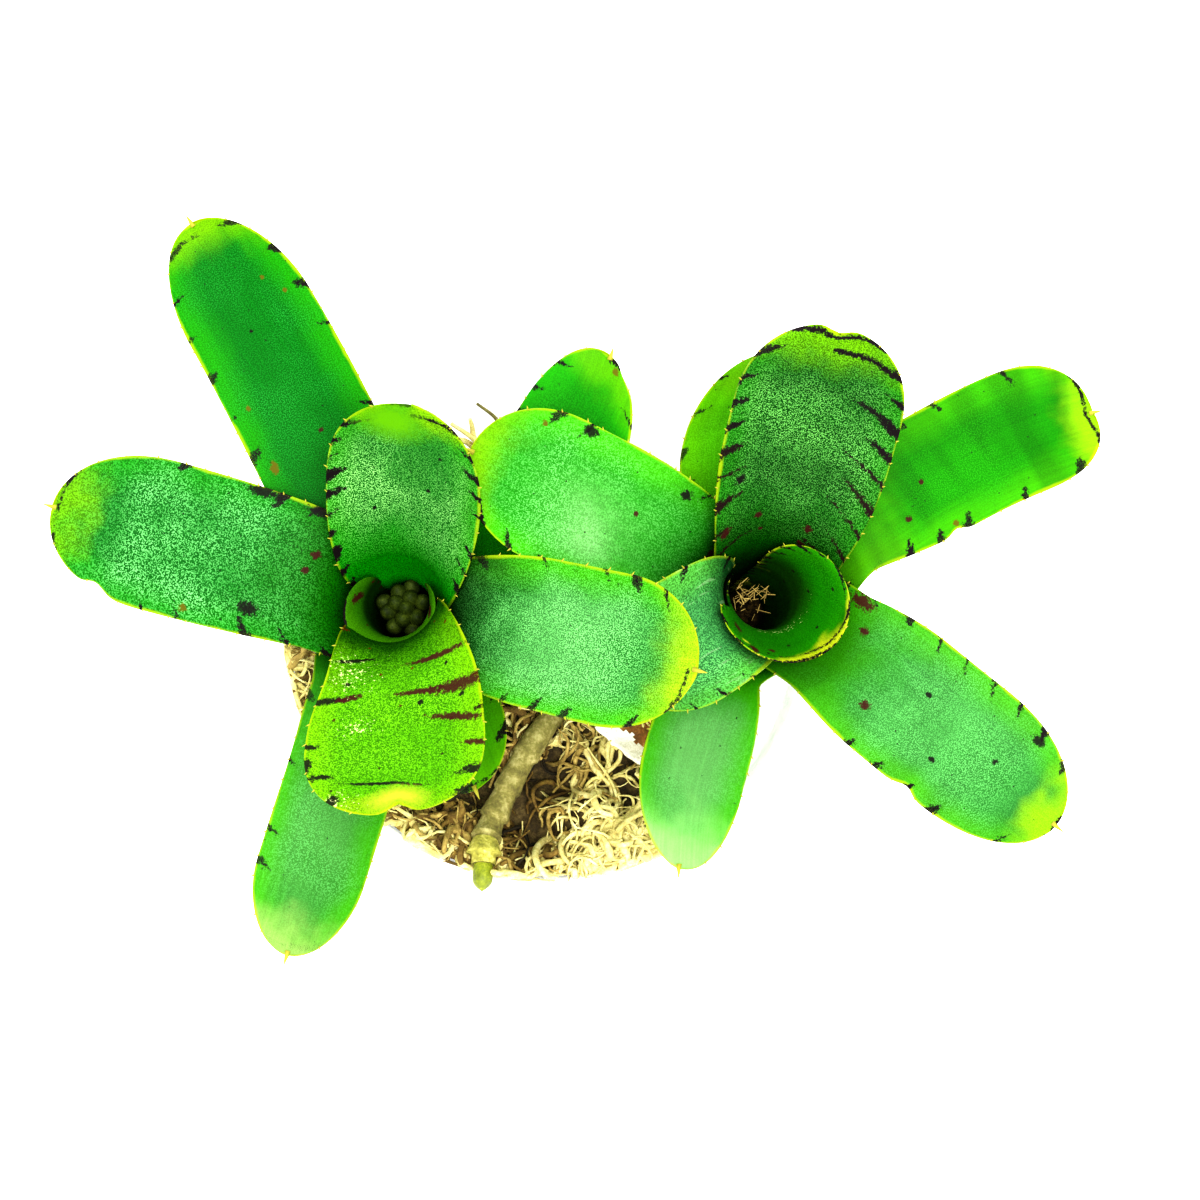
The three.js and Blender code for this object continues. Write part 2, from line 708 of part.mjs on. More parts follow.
addPiece(plant, "pot", potSolid(), COLOURS.pot, 0.35);
addPiece(plant, "moss", mossSolid(), COLOURS.moss, 0.95);
addRosette(LEFT, LEFT_LEAVES, "flower_buds_left", flowerBuds, COLOURS.bud);
addRosette(RIGHT, RIGHT_LEAVES, "spent_flowers_right", spentFlowers, COLOURS.spent);
addPiece(plant, "stolon", stolonSolid(0), COLOURS.stolon, 0.8);
addPiece(plant, "aerial_root", aerialRootSolid(0), COLOURS.root, 0.85);
Object.entries(DEAD_LEAVES).forEach(([name, leaf]) => {
  addPiece(plant, name, deadLeafSolid(leaf, 0), COLOURS.dead, 0.8);
});

export default plant;
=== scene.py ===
"""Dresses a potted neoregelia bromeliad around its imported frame.

Two rosettes of spiny strap leaves stand in dry, curly moss in a white plastic pot. Lengths are
millimetres and angles are degrees unless a name says otherwise; meshes are written in metres.
"""

from __future__ import annotations

import logging
import random
from dataclasses import dataclass, field
from enum import Enum
from math import atan, atan2, cos, exp, hypot, pi, radians, sin, sqrt, tau
from typing import Any, NamedTuple, Sequence

import bmesh
import bpy
from bmesh.types import BMesh
from bpy.types import Material, Mesh, NodeSocket, NodeTree, Object
from mathutils import Matrix, Vector, noise


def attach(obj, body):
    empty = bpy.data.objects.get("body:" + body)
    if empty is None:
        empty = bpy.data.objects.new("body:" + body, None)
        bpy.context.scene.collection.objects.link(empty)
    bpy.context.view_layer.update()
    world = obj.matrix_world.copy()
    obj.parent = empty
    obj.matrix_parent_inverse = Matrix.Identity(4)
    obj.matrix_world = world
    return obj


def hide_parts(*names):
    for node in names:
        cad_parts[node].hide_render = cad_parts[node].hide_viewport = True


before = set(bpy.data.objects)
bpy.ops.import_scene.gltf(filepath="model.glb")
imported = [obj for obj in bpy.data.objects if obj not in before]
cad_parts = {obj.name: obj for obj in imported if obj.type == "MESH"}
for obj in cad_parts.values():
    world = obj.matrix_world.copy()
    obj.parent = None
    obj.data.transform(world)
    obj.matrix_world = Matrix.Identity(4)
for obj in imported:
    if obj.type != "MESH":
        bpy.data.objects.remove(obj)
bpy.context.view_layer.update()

log = logging.getLogger("bromeliad")

MM = 0.001
BODY = "root"
GOLDEN_ANGLE = 137.5
EASED = {"interpolation_type": "SMOOTHSTEP"}


# ---------- small helpers ----------
def smooth(low: float, high: float, value: float) -> float:
    """Eases from 0 at low to 1 at high."""
    share = clamp((value - low) / (high - low))
    return share * share * (3 - 2 * share)


def mix(start: float, end: float, share: float) -> float:
    """The value a share of the way from start to end."""
    return start + (end - start) * share


def clamp(value: float, low: float = 0.0, high: float = 1.0) -> float:
    """The value, kept between low and high."""
    return min(max(value, low), high)


def polar(away: float, turn: float, z: float) -> Vector:
    """The point at a distance from the Z axis, a turn about it and a height."""
    return Vector((away * cos(turn), away * sin(turn), z))


def upright(place: Sequence[float], heading: Vector) -> Matrix:
    """Moves to a place and turns +Z to a heading."""
    turn = Vector((0, 0, 1)).rotation_difference(heading).to_matrix().to_4x4()
    return Matrix.Translation(place) @ turn


def linear(colour: str) -> tuple[float, float, float, float]:
    """Turns an sRGB hex colour to linear light.

    Args:
        colour: six hex digits after a hash sign.

    Returns:
        Linear red, green, blue and an alpha of 1.
    """
    channels = [int(colour[i : i + 2], 16) / 255 for i in (1, 3, 5)]
    r, g, b = (c / 12.92 if c <= 0.04045 else ((c + 0.055) / 1.055) ** 2.4 for c in channels)
    return (r, g, b, 1.0)


def add(tree: NodeTree, kind: str, *values: Any, out: str = "", **settings: Any) -> Any:
    """Adds a node with its settings and links.

    Args:
        tree: the material's or the world's node tree.
        kind: the node's class without its ShaderNode prefix, then its operation or data type.
        *values: a socket, a plain value or a hex colour for each input in use, in order. Those
            beyond the last input go to further nodes of the kind, each fed by the one before.
        out: name of the output that the caller wants, if that isn't the first in use.
        **settings: inputs by their capitalised names and attributes by theirs; stops is a list of
            (place, hex colour) for a ramp.

    Returns:
        The wanted output socket.
    """
    name, _, choice = kind.partition(" ")
    node = tree.nodes.new("ShaderNode" + name)
    if choice:
        setattr(node, "data_type" if name == "Mix" else "operation", choice)
    for index, (place, colour) in enumerate(settings.get("stops", [])):
        ramp = node.color_ramp.elements
        stop = ramp[index] if index < len(ramp) else ramp.new(place)
        stop.position, stop.color = place, linear(colour)
    named = {key: value for key, value in settings.items() if key[0].isupper()}
    for key in settings.keys() - named.keys() - {"stops"}:
        setattr(node, key, settings[key])
    links = list(zip([socket for socket in node.inputs if socket.enabled], values))
    rest = values[len(links) :]
    links += [(node.inputs[key.replace("_", " ")], value) for key, value in named.items()]
    for socket, value in links:
        if isinstance(value, NodeSocket):
            tree.links.new(value, socket)
        else:
            socket.default_value = linear(value) if isinstance(value, str) else value
    if not node.outputs:
        return None
    made = node.outputs[out] if out else next(socket for socket in node.outputs if socket.enabled)
    return add(tree, kind, made, *rest, out=out, **settings) if rest else made


def new_material(name: str) -> tuple[Material, NodeTree]:
    """An empty node material and its tree."""
    material = bpy.data.materials.new(name)
    material.use_nodes = True
    material.node_tree.nodes.clear()
    return material, material.node_tree


def finish_piece(
    name: str, shape: Mesh | BMesh, finishes: Sequence[Enum | Material], slot: str, *nodes: str
) -> Object:
    """Makes a finished shape an object of the part.

    Args:
        name: the piece's name.
        shape: its mesh in metres or its bmesh in millimetres, already in place.
        finishes: its materials or their named finishes, in slot order.
        slot: the record's material slot; not used.
        *nodes: the frame's nodes that it stands for.

    Returns:
        The new object.
    """
    mesh = mesh_from(shape) if isinstance(shape, BMesh) else shape
    mesh.name = name
    for index, finish in enumerate(finishes):
        material = material_of(finish) if isinstance(finish, Enum) else finish
        if index < len(mesh.materials):
            mesh.materials[index] = material
        else:
            mesh.materials.append(material)
    mesh.shade_smooth()
    piece = bpy.data.objects.new(name, mesh)
    bpy.context.collection.objects.link(piece)
    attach(piece, BODY)
    if nodes:
        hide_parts(*nodes)
    log.info("%s: %d faces", name, len(mesh.polygons))
    return piece


def mesh_from(bm: BMesh) -> Mesh:
    """Turns a bmesh in millimetres into a mesh in metres, and frees it."""
    bmesh.ops.scale(bm, vec=(MM, MM, MM), verts=bm.verts)
    mesh = bpy.data.meshes.new("piece")
    bm.to_mesh(mesh)
    bm.free()
    return mesh


@dataclass
class Strand:
    """One round strand: its middle line, its radius at each point and its material's number."""

    points: list[Vector]
    radii: list[float]
    tone: int = 0


def strands_mesh(strands: Sequence[Strand], sides: int) -> Mesh:
    """Sweeps a round section along every strand.

    Args:
        strands: the strands, in millimetres.
        sides: an even number of sides for each, 4 or more.

    Returns:
        One mesh that holds them all, in metres.
    """
    curve = bpy.data.curves.new("strands", "CURVE")
    curve.dimensions = "3D"
    curve.bevel_depth = MM
    curve.bevel_resolution = (sides - 4) // 2
    curve.use_fill_caps = True
    tones = max((strand.tone for strand in strands), default=0) + 1
    for _ in range(tones):
        curve.materials.append(None)
    for strand in strands:
        spline = curve.splines.new("POLY")
        spline.points.add(len(strand.points) - 1)
        for knot, place, radius in zip(spline.points, strand.points, strand.radii):
            knot.co = (*(place * MM), 1.0)
            knot.radius = radius
        spline.material_index = strand.tone
        spline.use_smooth = True
    holder = bpy.data.objects.new("strands", curve)
    mesh = bpy.data.meshes.new_from_object(holder)
    bpy.data.objects.remove(holder)
    bpy.data.curves.remove(curve)
    return mesh


def smooth_path(points: Sequence[Sequence[float]], steps: int) -> list[Vector]:
    """Even steps along a smooth curve through a few points.

    Args:
        points: the points that the curve passes through.
        steps: how many stretches to cut each span into.

    Returns:
        The points along the curve, ends included.
    """
    knots = [Vector(p) for p in points]
    knots = [2 * knots[0] - knots[1], *knots, 2 * knots[-1] - knots[-2]]
    path = []
    for a, b, c, d in zip(knots, knots[1:], knots[2:], knots[3:]):
        slope, bend, twist = c - a, 2 * a - 5 * b + 4 * c - d, 3 * b - a - 3 * c + d
        for i in range(steps):
            t = i / steps
            path.append(0.5 * (2 * b + slope * t + bend * t**2 + twist * t**3))
    return [*path, knots[-2]]


# ---------- the pot's and the moss's shared shape ----------
@dataclass(frozen=True)
class PotSize:
    """The pot's driving dimensions."""

    height: float = 125
    rim_radius: float = 82.5
    mouth_radius: float = 78
    base_radius: float = 57
    wall: float = 2
    floor: float = 3
    lip_height: float = 17
    lip_step: float = 2.4
    edge: float = 1
    drain_holes: int = 5
    drain_radius: float = 4.5
    drain_ring: float = 38

    def inner_wall(self, z: float) -> float:
        """The inside radius at a height."""
        return mix(self.base_radius - self.wall, self.mouth_radius, z / self.height)


POT = PotSize()


@dataclass(frozen=True)
class MossSize:
    """How the moss lies in the pot: high at the left and front, low at the right and the back.

    Each fall is the heading that it faces, with its start and end measured along that heading.
    """

    low: float = 62
    high: float = 118
    falls: tuple[tuple[float, float, float], ...] = ((21, 12, 46), (90, 47, 68))
    ripple: float = 1.5
    gap: float = 0.5

    def height(self, x: float, y: float) -> float:
        """The height of the moss's surface at a place."""
        left = 1.0
        for heading, start, end in self.falls:
            turn = radians(heading)
            left *= 1 - smooth(start, end, x * cos(turn) + y * sin(turn))
        ripple = sin(x / 6.1 + 1.3 * sin(y / 8.3)) * sin(y / 5.3 + 0.7)
        return mix(self.low, self.high, left) + self.ripple * ripple

    def reach(self, turn: float) -> float:
        """The radius at which the moss meets the pot's wall in a direction."""
        radius = POT.mouth_radius
        for _ in range(20):
            edge = polar(radius, turn, 0)
            radius = POT.inner_wall(self.height(edge.x, edge.y)) - self.gap
        return radius


MOSS = MossSize()


# ---------- finishes ----------
LEAF_MEASURES = ("across", "along", "share", "rim", "tip", "number", "spine")


class Blemish(Enum):
    """The kinds of mark on a blade, each with its colour."""

    BRUISE = "#120d0e"
    WINE = "#341012"
    RUST = "#4e480a"
    YELLOW = "#8e9a28"
    LIME = "#4e8400"
    # pale scurf on the open blades; the pale arcs inside the rolled funnel are a painted highlight
    CHALK = "#c0c48c"


BRUISE, WINE, RUST, YELLOW, LIME, CHALK = Blemish


@dataclass(frozen=True)
class Mark:
    """A mark on a blade: where it is along and across it, and its radius across.

    Its radius along is stretch times that, and turn tips it anticlockwise.
    """

    along: float
    across: float
    radius: float
    kind: Blemish = BRUISE
    stretch: float = 1.0
    turn: float = 0.0


class Skin(NamedTuple):
    """What a leaf's patterns are drawn from.

    These are the material's node tree, the leaf's measures in millimetres, a soft noise about 0 in
    patches some 20 mm across, and a rough noise that frays edges.
    """

    tree: NodeTree
    leaf: dict[str, Any]
    stray: Any
    rough: Any


@dataclass(frozen=True)
class LeafFinish:
    """Living bromeliad leaf: a leathery blade with a waxy skin under fine white scurf.

    The wax's broad, soft sheen is mostly painted: some blades mix a pale haze into their colour, a
    painted sheen where the light's reflection falls. Scurf is a stipple of white scales, drawn at
    0.3 mm because the real ones are too fine to show. Dark bars cross the blade from its margins,
    and a thin yellow hem runs round it. Colours are those of the living skin, so they are deep.
    """

    name: str
    base: str
    middle: str
    side: str
    tip: str
    # painted sheen: the colour, strength, side and span of a pale haze that stands for the light's
    # reflection
    painted_sheen: str = "#62a556"
    painted_sheen_share: float = 0.0
    painted_sheen_from: float = -60.0
    painted_sheen_span: tuple[float, float] = (0.3, 0.97)
    bands: float = 0.0
    scurf: float = 0.5
    scurf_tone: str = "#5a9a56"
    grain: float = 0.2
    streaks: float = 0.0
    streak_tone: str = "#9ab48c"
    dash_share: float = 0.6
    dash_least: float = 2.2
    dash_reach: float = 6.0
    dash_width: float = 2.3
    dash_pitch: float = 9.0
    dash_colour: str = "#140d10"
    dash_far: str = "#140d10"
    slant: float = 0.35
    tilt: float = 0.0
    spots: float = 0.25
    spine_tone: str = "#8e8a34"
    hem: str = "#8a9a08"
    hem_share: float = 0.6
    tip_reach: float = 14.0
    roughness: float = 0.46

    def ground(self, skin: Skin) -> Any:
        """The colour socket: deeper along the middle, fresher at the sides, yellow at the tip."""
        tree, leaf, stray, _ = skin
        inward = add(tree, "Math MULTIPLY_ADD", stray, 9.0, leaf["rim"])
        inward = add(tree, "MapRange", inward, 1.0, 11.0, **EASED)
        colour = add(tree, "Mix RGBA", inward, self.side, self.middle)
        along = add(tree, "Math MULTIPLY_ADD", stray, 0.35, leaf["share"])
        # painted sheen: a pale haze mixed into the blade's middle where the light's soft reflection
        # falls
        if self.painted_sheen_share:
            near, far = self.painted_sheen_span
            painted_sheen = add(
                tree, "Math MULTIPLY", add(tree, "MapRange", along, near, near + 0.26, **EASED),
                add(tree, "MapRange", along, far, far - 0.31, **EASED),
                add(
                    tree, "MapRange", leaf["across"], self.painted_sheen_from, self.painted_sheen_from + 22.0, **EASED
                ),
                inward, self.painted_sheen_share
            )
            colour = add(tree, "Mix RGBA", painted_sheen, colour, self.painted_sheen)
        colour = add(
            tree, "Mix RGBA", add(tree, "MapRange", along, 0.5, 0.2, **EASED), colour, self.base
        )
        if self.bands:
            place = add(tree, "CombineXYZ", leaf["across"], leaf["along"], leaf["number"])
            crossed = add(tree, "VectorMath MULTIPLY", place, (0.025, 0.11, 1.0))
            crossed = add(tree, "TexNoise", crossed, 1.0, 1.0)
            shade = add(tree, "MapRange", crossed, 0.42, 0.6, 1.0, 1 - self.bands)
            colour = add(tree, "VectorMath SCALE", colour, shade)
        near_tip = add(tree, "Math MULTIPLY_ADD", stray, 26.0, leaf["tip"])
        return add(
            tree, "Mix RGBA", add(tree, "MapRange", near_tip, self.tip_reach, 1.0, **EASED), colour,
            self.tip
        )

    def dashes(self, skin: Skin) -> Any:
        """The mask of the dark bars from the margins, each with its own reach and width."""
        tree, leaf, stray, rough = skin
        row = add(tree, "Math MULTIPLY_ADD", leaf["rim"], -self.slant, leaf["along"])
        row = add(tree, "Math MULTIPLY_ADD", leaf["across"], self.tilt, row)
        row = add(tree, "Math MULTIPLY_ADD", stray, 4.0, row)
        row = add(tree, "Math DIVIDE", row, self.dash_pitch)
        cell = add(tree, "Math FLOOR", row)
        seed = add(tree, "CombineXYZ", cell, add(tree, "Math SIGN", leaf["across"]), leaf["number"])
        draw = add(tree, "TexWhiteNoise", seed, out="Color", noise_dimensions="3D")
        red, green, blue = add(tree, "SeparateColor", draw).node.outputs
        reach = add(tree, "Math POWER", red, 1.5)
        reach = add(tree, "MapRange", reach, 0.0, 1.0, self.dash_least, self.dash_reach)
        spent = add(tree, "Math DIVIDE", leaf["rim"], reach)
        left = add(tree, "Math SUBTRACT", 1.0, spent, use_clamp=True)
        width = add(tree, "MapRange", green, 0.0, 1.0, 0.9, self.dash_width)
        width = add(tree, "Math MULTIPLY", width, add(tree, "Math SQRT", left))
        off = add(tree, "Math SUBTRACT", add(tree, "Math SUBTRACT", row, cell), 0.5)
        off = add(tree, "Math ABSOLUTE", off)
        off = add(tree, "Math MULTIPLY_ADD", off, -self.dash_pitch, width)
        mask = add(tree, "MapRange", add(tree, "Math MULTIPLY_ADD", rough, 5.0, off), 2.75, 3.25)
        kept = add(tree, "Math LESS_THAN", blue, self.dash_share)
        return add(
            tree, "Math MULTIPLY", mask, kept, add(tree, "MapRange", left, 0.0, 0.1, **EASED)
        )

    @staticmethod
    def marked(skin: Skin, colour: Any, place: Any, marks: Sequence[Mark]) -> Any:
        """Paints a blade's own marks over its colour.

        Args:
            skin: what the patterns are drawn from.
            colour: the colour so far.
            place: the point's distance across and along the blade, in millimetres.
            marks: the marks.

        Returns:
            The colour socket.
        """
        tree, _, _, rough = skin
        for mark in marks:
            size = (1 / mark.radius, 1 / (mark.radius * mark.stretch), 0)
            shift = (-mark.across * size[0], -mark.along * size[1], 0)
            off = place
            if mark.turn:
                pivot, angle = (mark.across, mark.along, 0), radians(-mark.turn)
                off = add(tree, "VectorRotate", off, pivot, rotation_type="Z_AXIS", Angle=angle)
            off = add(tree, "VectorMath MULTIPLY_ADD", off, size, shift)
            off = add(tree, "VectorMath LENGTH", off)
            if mark.kind is CHALK:
                off = add(tree, "Math MULTIPLY_ADD", off, -0.07, rough)
                mask = add(tree, "MapRange", off, 0.53, 0.59, 0.0, 0.85)
            else:
                fray, edge = (0.8, 0.5) if mark.kind in (YELLOW, LIME) else (2.6, 0.2)
                off = add(tree, "Math MULTIPLY_ADD", rough, fray, off)
                middle = 0.85 + fray / 2
                mask = add(tree, "MapRange", off, middle + edge, middle - edge, 0.0, 0.95)
            colour = add(tree, "Mix RGBA", mask, colour, mark.kind.value)
        return colour

    def material(self, marks: Sequence[Mark]) -> Material:
        """Builds the finish from the leaf's own attributes.

        Args:
            marks: the blade's own marks.

        Returns:
            The material.
        """
        material, tree = new_material(self.name)
        leaf = {
            name: add(
                tree, "Attribute", out="Fac", attribute_name="leaf_" + name
            ) for name in LEAF_MEASURES
        }
        flat = add(tree, "CombineXYZ", leaf["across"], leaf["along"])
        place = add(tree, "CombineXYZ", leaf["across"], leaf["along"], leaf["number"])
        patches = add(tree, "TexNoise", place, 0.05, 3.0, 0.6)
        grains = add(tree, "TexNoise", place, 3.2, 0.5, 0.6)
        rough = add(tree, "TexNoise", place, 1.1, 3.0, 0.75)
        skin = Skin(tree, leaf, add(tree, "Math SUBTRACT", patches, 0.5), rough)
        colour = self.ground(skin)

        # veins: parallel lines about 0.8 mm apart
        drawn = add(tree, "VectorMath MULTIPLY", place, (1.3, 0.03, 1.0))
        veins = add(tree, "TexNoise", drawn, 1.0, 2.0, 0.6)
        tone = add(tree, "MapRange", veins, 0.3, 0.7, 0.68, 0.82)
        fine = add(tree, "MapRange", grains, 0.36, 0.6, 1 - self.grain, 1 + 0.35 * self.grain)
        colour = add(tree, "VectorMath SCALE", colour, add(tree, "Math MULTIPLY", tone, fine))

        # the hem: a thin yellow line that fades towards the sheath
        hem = add(tree, "Math MULTIPLY_ADD", skin.stray, 3.0, leaf["rim"])
        hem = add(tree, "MapRange", hem, 0.75, 0.1, 0.0, self.hem_share)
        hem = add(tree, "Math MULTIPLY", hem, add(tree, "MapRange", leaf["share"], 0.02, 0.4))
        colour = add(tree, "Mix RGBA", hem, colour, self.hem)

        # scurf: thick on the blade's middle, thin at the margins and the sheath, in clouds
        stipple = add(
            tree, "Math MULTIPLY", add(tree, "MapRange", grains, 0.51, 0.58, 0.0, self.scurf),
            add(tree, "MapRange", patches, 0.38, 0.6, 0.35, 1.2),
            add(tree, "MapRange", leaf["rim"], 0.5, 6.0, 0.35, 1.0),
            add(tree, "MapRange", leaf["share"], 0.18, 0.55),
            add(tree, "MapRange", leaf["tip"], 4.0, 22.0, 0.1, 1.0)
        )
        colour = add(tree, "Mix RGBA", stipple, colour, self.scurf_tone)
        if self.streaks:
            drawn = add(tree, "VectorMath MULTIPLY", place, (0.75, 0.1, 1.0))
            scraped = add(tree, "TexNoise", drawn, 1.0, 1.0)
            scraped = add(tree, "MapRange", scraped, 0.62, 0.7, 0.0, self.streaks)
            colour = add(tree, "Mix RGBA", scraped, colour, self.streak_tone)

        # bars from the margins, and round freckles 1 to 2 mm across
        far = add(tree, "MapRange", leaf["share"], 0.45, 0.7, **EASED)
        dash = add(tree, "Mix RGBA", far, self.dash_colour, self.dash_far)
        apart = add(tree, "CombineXYZ", leaf["number"], leaf["number"])
        apart = add(tree, "VectorMath ADD", flat, apart)
        freckle = add(tree, "TexVoronoi", apart, 0.075, voronoi_dimensions="2D")
        freckle = add(tree, "Math MULTIPLY_ADD", grains, 0.05, freckle)
        edge = 0.03 + 0.07 * self.spots
        spots = add(tree, "MapRange", freckle, edge, edge - 0.02, 0.0, 0.85)
        dark = add(tree, "Math MAXIMUM", self.dashes(skin), spots)
        colour = add(tree, "Mix RGBA", dark, colour, dash)
        colour = self.marked(skin, colour, flat, marks)
        colour = add(tree, "Mix RGBA", leaf["spine"], colour, self.spine_tone)
        relief = add(tree, "Math MULTIPLY_ADD", veins, 1.0, grains)
        normal = add(tree, "Bump", Height=relief, Strength=0.3, Distance=0.12 * MM)
        rough = add(tree, "Math MULTIPLY_ADD", stipple, 0.3, self.roughness)
        surface = add(
            tree, "BsdfPrincipled", Base_Color=colour, Roughness=rough, Normal=normal, IOR=1.45,
            Specular_IOR_Level=0.06
        )
        add(tree, "OutputMaterial", Surface=surface)
        return material


class LeafTone(Enum):
    """The leaves' finishes, from the open outer blades to the rolled inner ones."""

    EMERALD = LeafFinish(
        "emerald_leaf", "#005000", "#005e0c", "#1c7e00", "#609400", grain=0.3, scurf=0.35,
        scurf_tone="#308a3c", dash_pitch=12.0, dash_reach=5.0, tip_reach=17.0
    )
    SCURFY = LeafFinish(
        "scurfy_leaf", "#105c00", "#106418", "#14760a", "#5a9000", grain=0.45, scurf=0.75,
        scurf_tone="#66a464", tip_reach=12.0
    )
    FOREST = LeafFinish(
        "forest_leaf", "#087800", "#1a6a1c", "#2a8210", "#6a9a00", grain=0.55, scurf=0.8,
        scurf_tone="#7cb066", dash_share=0.95, dash_least=2.6, dash_reach=6.5, dash_width=3.0,
        dash_pitch=5.4, tip_reach=7.0
    )
    BARRED = LeafFinish(
        "barred_leaf", "#0a4e00", "#105010", "#1c6c06", "#5c9200", bands=0.2, grain=0.6, scurf=0.75,
        scurf_tone="#5e964c", dash_share=0.85, dash_least=4.0, dash_reach=16.0, dash_width=2.5,
        dash_pitch=7.0, dash_colour="#1c0e0e"
    )
    LIME = LeafFinish(
        "lime_leaf", "#144600", "#448600", "#629c00", "#6c9608", grain=0.45, scurf=0.5,
        scurf_tone="#6ca41c", dash_share=0.5, dash_reach=5.0, dash_width=1.6, dash_colour="#481a04",
        dash_far="#1c1408", slant=0.0, tilt=0.2, spots=0.5, tip_reach=6.0
    )
    MINT = LeafFinish(
        "mint_leaf", "#052e04", "#126418", "#3a900a", "#84a818", painted_sheen="#549050", painted_sheen_share=0.7,
        grain=0.4, scurf=0.6, scurf_tone="#70ac68", tip_reach=16.0
    )
    PALE = LeafFinish(
        "pale_leaf", "#0a4e00", "#268018", "#3e9c08", "#6a9c00", painted_sheen="#68a05a", painted_sheen_share=0.95,
        painted_sheen_from=-14.0, painted_sheen_span=(0.36, 0.86), grain=0.22, scurf=0.4, scurf_tone="#70ac68",
        dash_share=0.5, tip_reach=16.0
    )
    JADE = LeafFinish(
        "jade_leaf", "#307a00", "#2a6e2a", "#429018", "#76a010", painted_sheen="#4c8a48", painted_sheen_share=0.5,
        bands=0.15, scurf=0.6, tip_reach=10.0
    )
    WILLOW = LeafFinish(
        "willow_leaf", "#246a0c", "#2e6e24", "#3c8c10", "#7c9c50", painted_sheen="#4c8440", painted_sheen_share=0.7,
        grain=0.1, scurf=0.35, dash_share=0.35
    )
    SAGE = LeafFinish(
        "sage_leaf", "#3a9000", "#3c7c34", "#3c8c10", "#7eb464", painted_sheen="#5c9050", painted_sheen_share=0.8,
        grain=0.06, scurf=0.3, dash_share=0.25, tip_reach=20.0
    )
    FERN = LeafFinish(
        "fern_leaf", "#4c9400", "#187400", "#3a9000", "#78a00a", bands=0.3, grain=0.12, scurf=0.35,
        scurf_tone="#34941c", dash_share=0.7, tip_reach=11.0
    )
    GRASS = LeafFinish(
        "grass_leaf", "#187000", "#107000", "#1e8800", "#4c9000", grain=0.15, scurf=0.3,
        scurf_tone="#2c9020"
    )
    OLIVE = LeafFinish(
        "olive_leaf", "#2a7400", "#347e00", "#468a00", "#508c04", bands=0.15, grain=0.1, scurf=0.2,
        scurf_tone="#4c9420"
    )
    FRESH = LeafFinish(
        "fresh_leaf", "#3c8c00", "#489600", "#58a200", "#60980a", bands=0.15, scurf=0.2,
        scurf_tone="#5ca428"
    )
    SILVER = LeafFinish(
        "silver_leaf", "#1c5426", "#3c7c44", "#4e9638", "#6a9c4c", grain=0.45, scurf=0.8,
        streaks=0.2, dash_reach=6.0, dash_width=1.6
    )
    ROLLED = LeafFinish(
        "rolled_leaf", "#1c5204", "#166a00", "#2a8000", "#98a41c", bands=0.3, grain=0.25, scurf=0.4,
        scurf_tone="#3c8c1c", hem="#98a41c", dash_share=0.95, dash_reach=6.0, dash_width=1.5,
        dash_pitch=3.4, spots=0.6, tip_reach=5.5
    )
    COLLAR = LeafFinish(
        "collar_leaf", "#1c4402", "#2c6404", "#346a06", "#3f7406", bands=0.3, grain=0.3, scurf=0.3,
        scurf_tone="#4c8014", hem_share=0.0, dash_share=0.6, dash_reach=6.0, dash_colour="#3a0c06",
        spots=0.5
    )


@dataclass(frozen=True)
class PotPlastic:
    """Injection-moulded white polypropylene: satin, with faint scuffs and a little marbling."""

    name: str = "white_polypropylene"
    colour: str = "#fbfcfa"
    scuff: str = "#90a89c"

    def material(self) -> Material:
        """Builds the finish from object coordinates."""
        material, tree = new_material(self.name)
        place = add(tree, "TexCoord", out="Object")
        marbling = add(tree, "TexNoise", place, 28.0, 5.0, 0.6)
        drawn = add(tree, "VectorMath MULTIPLY", place, (260.0, 260.0, 40.0))
        scratches = add(tree, "TexNoise", drawn, 1.0, 4.0, 0.7)
        worn = add(tree, "MapRange", scratches, 0.55, 0.8, 0.0, 0.5)
        stain = add(tree, "MapRange", marbling, 0.45, 0.7, 0.0, 0.6)
        shade = add(tree, "Math MAXIMUM", worn, stain)
        colour = add(tree, "Mix RGBA", shade, self.colour, self.scuff)
        rough = add(tree, "MapRange", scratches, 0.3, 0.7, 0.3, 0.46)
        normal = add(tree, "Bump", Height=marbling, Strength=0.15, Distance=0.3 * MM)
        surface = add(
            tree, "BsdfPrincipled", Base_Color=colour, Roughness=rough, Normal=normal, IOR=1.49,
            Subsurface_Weight=1.0, Subsurface_Radius=(1.0, 1.0, 1.0), Subsurface_Scale=12 * MM
        )
        add(tree, "OutputMaterial", Surface=surface)
        return material


@dataclass(frozen=True)
class FibreFinish:
    """Dry plant matter, such as moss, bark or root: matt, fibrous and unevenly bleached."""

    name: str
    dark: str
    middle: str
    pale: str
    patch_mm: float = 9.0
    fibre_mm: float = 0.6
    relief_mm: float = 0.4
    roughness: float = 0.85
    gloss: float = 0.5

    def material(self) -> Material:
        """Builds the finish from object coordinates."""
        material, tree = new_material(self.name)
        place = add(tree, "TexCoord", out="Object")
        patches = add(tree, "TexNoise", place, 1 / (self.patch_mm * MM), 4.0, 0.65)
        fibres = add(tree, "TexNoise", place, 1 / (self.fibre_mm * MM), 3.0, 0.6)
        blended = add(tree, "Math MULTIPLY_ADD", fibres, 0.45, patches)
        tone = add(tree, "MapRange", blended, 0.45, 1.0)
        colour = add(
            tree, "ValToRGB", tone, stops=[(0.0, self.dark), (1.0, self.pale), (0.5, self.middle)]
        )
        normal = add(tree, "Bump", Height=fibres, Strength=0.6, Distance=self.relief_mm * MM)
        surface = add(
            tree, "BsdfPrincipled", Base_Color=colour, Roughness=self.roughness, Normal=normal,
            Specular_IOR_Level=self.gloss
        )
        add(tree, "OutputMaterial", Surface=surface)
        return material


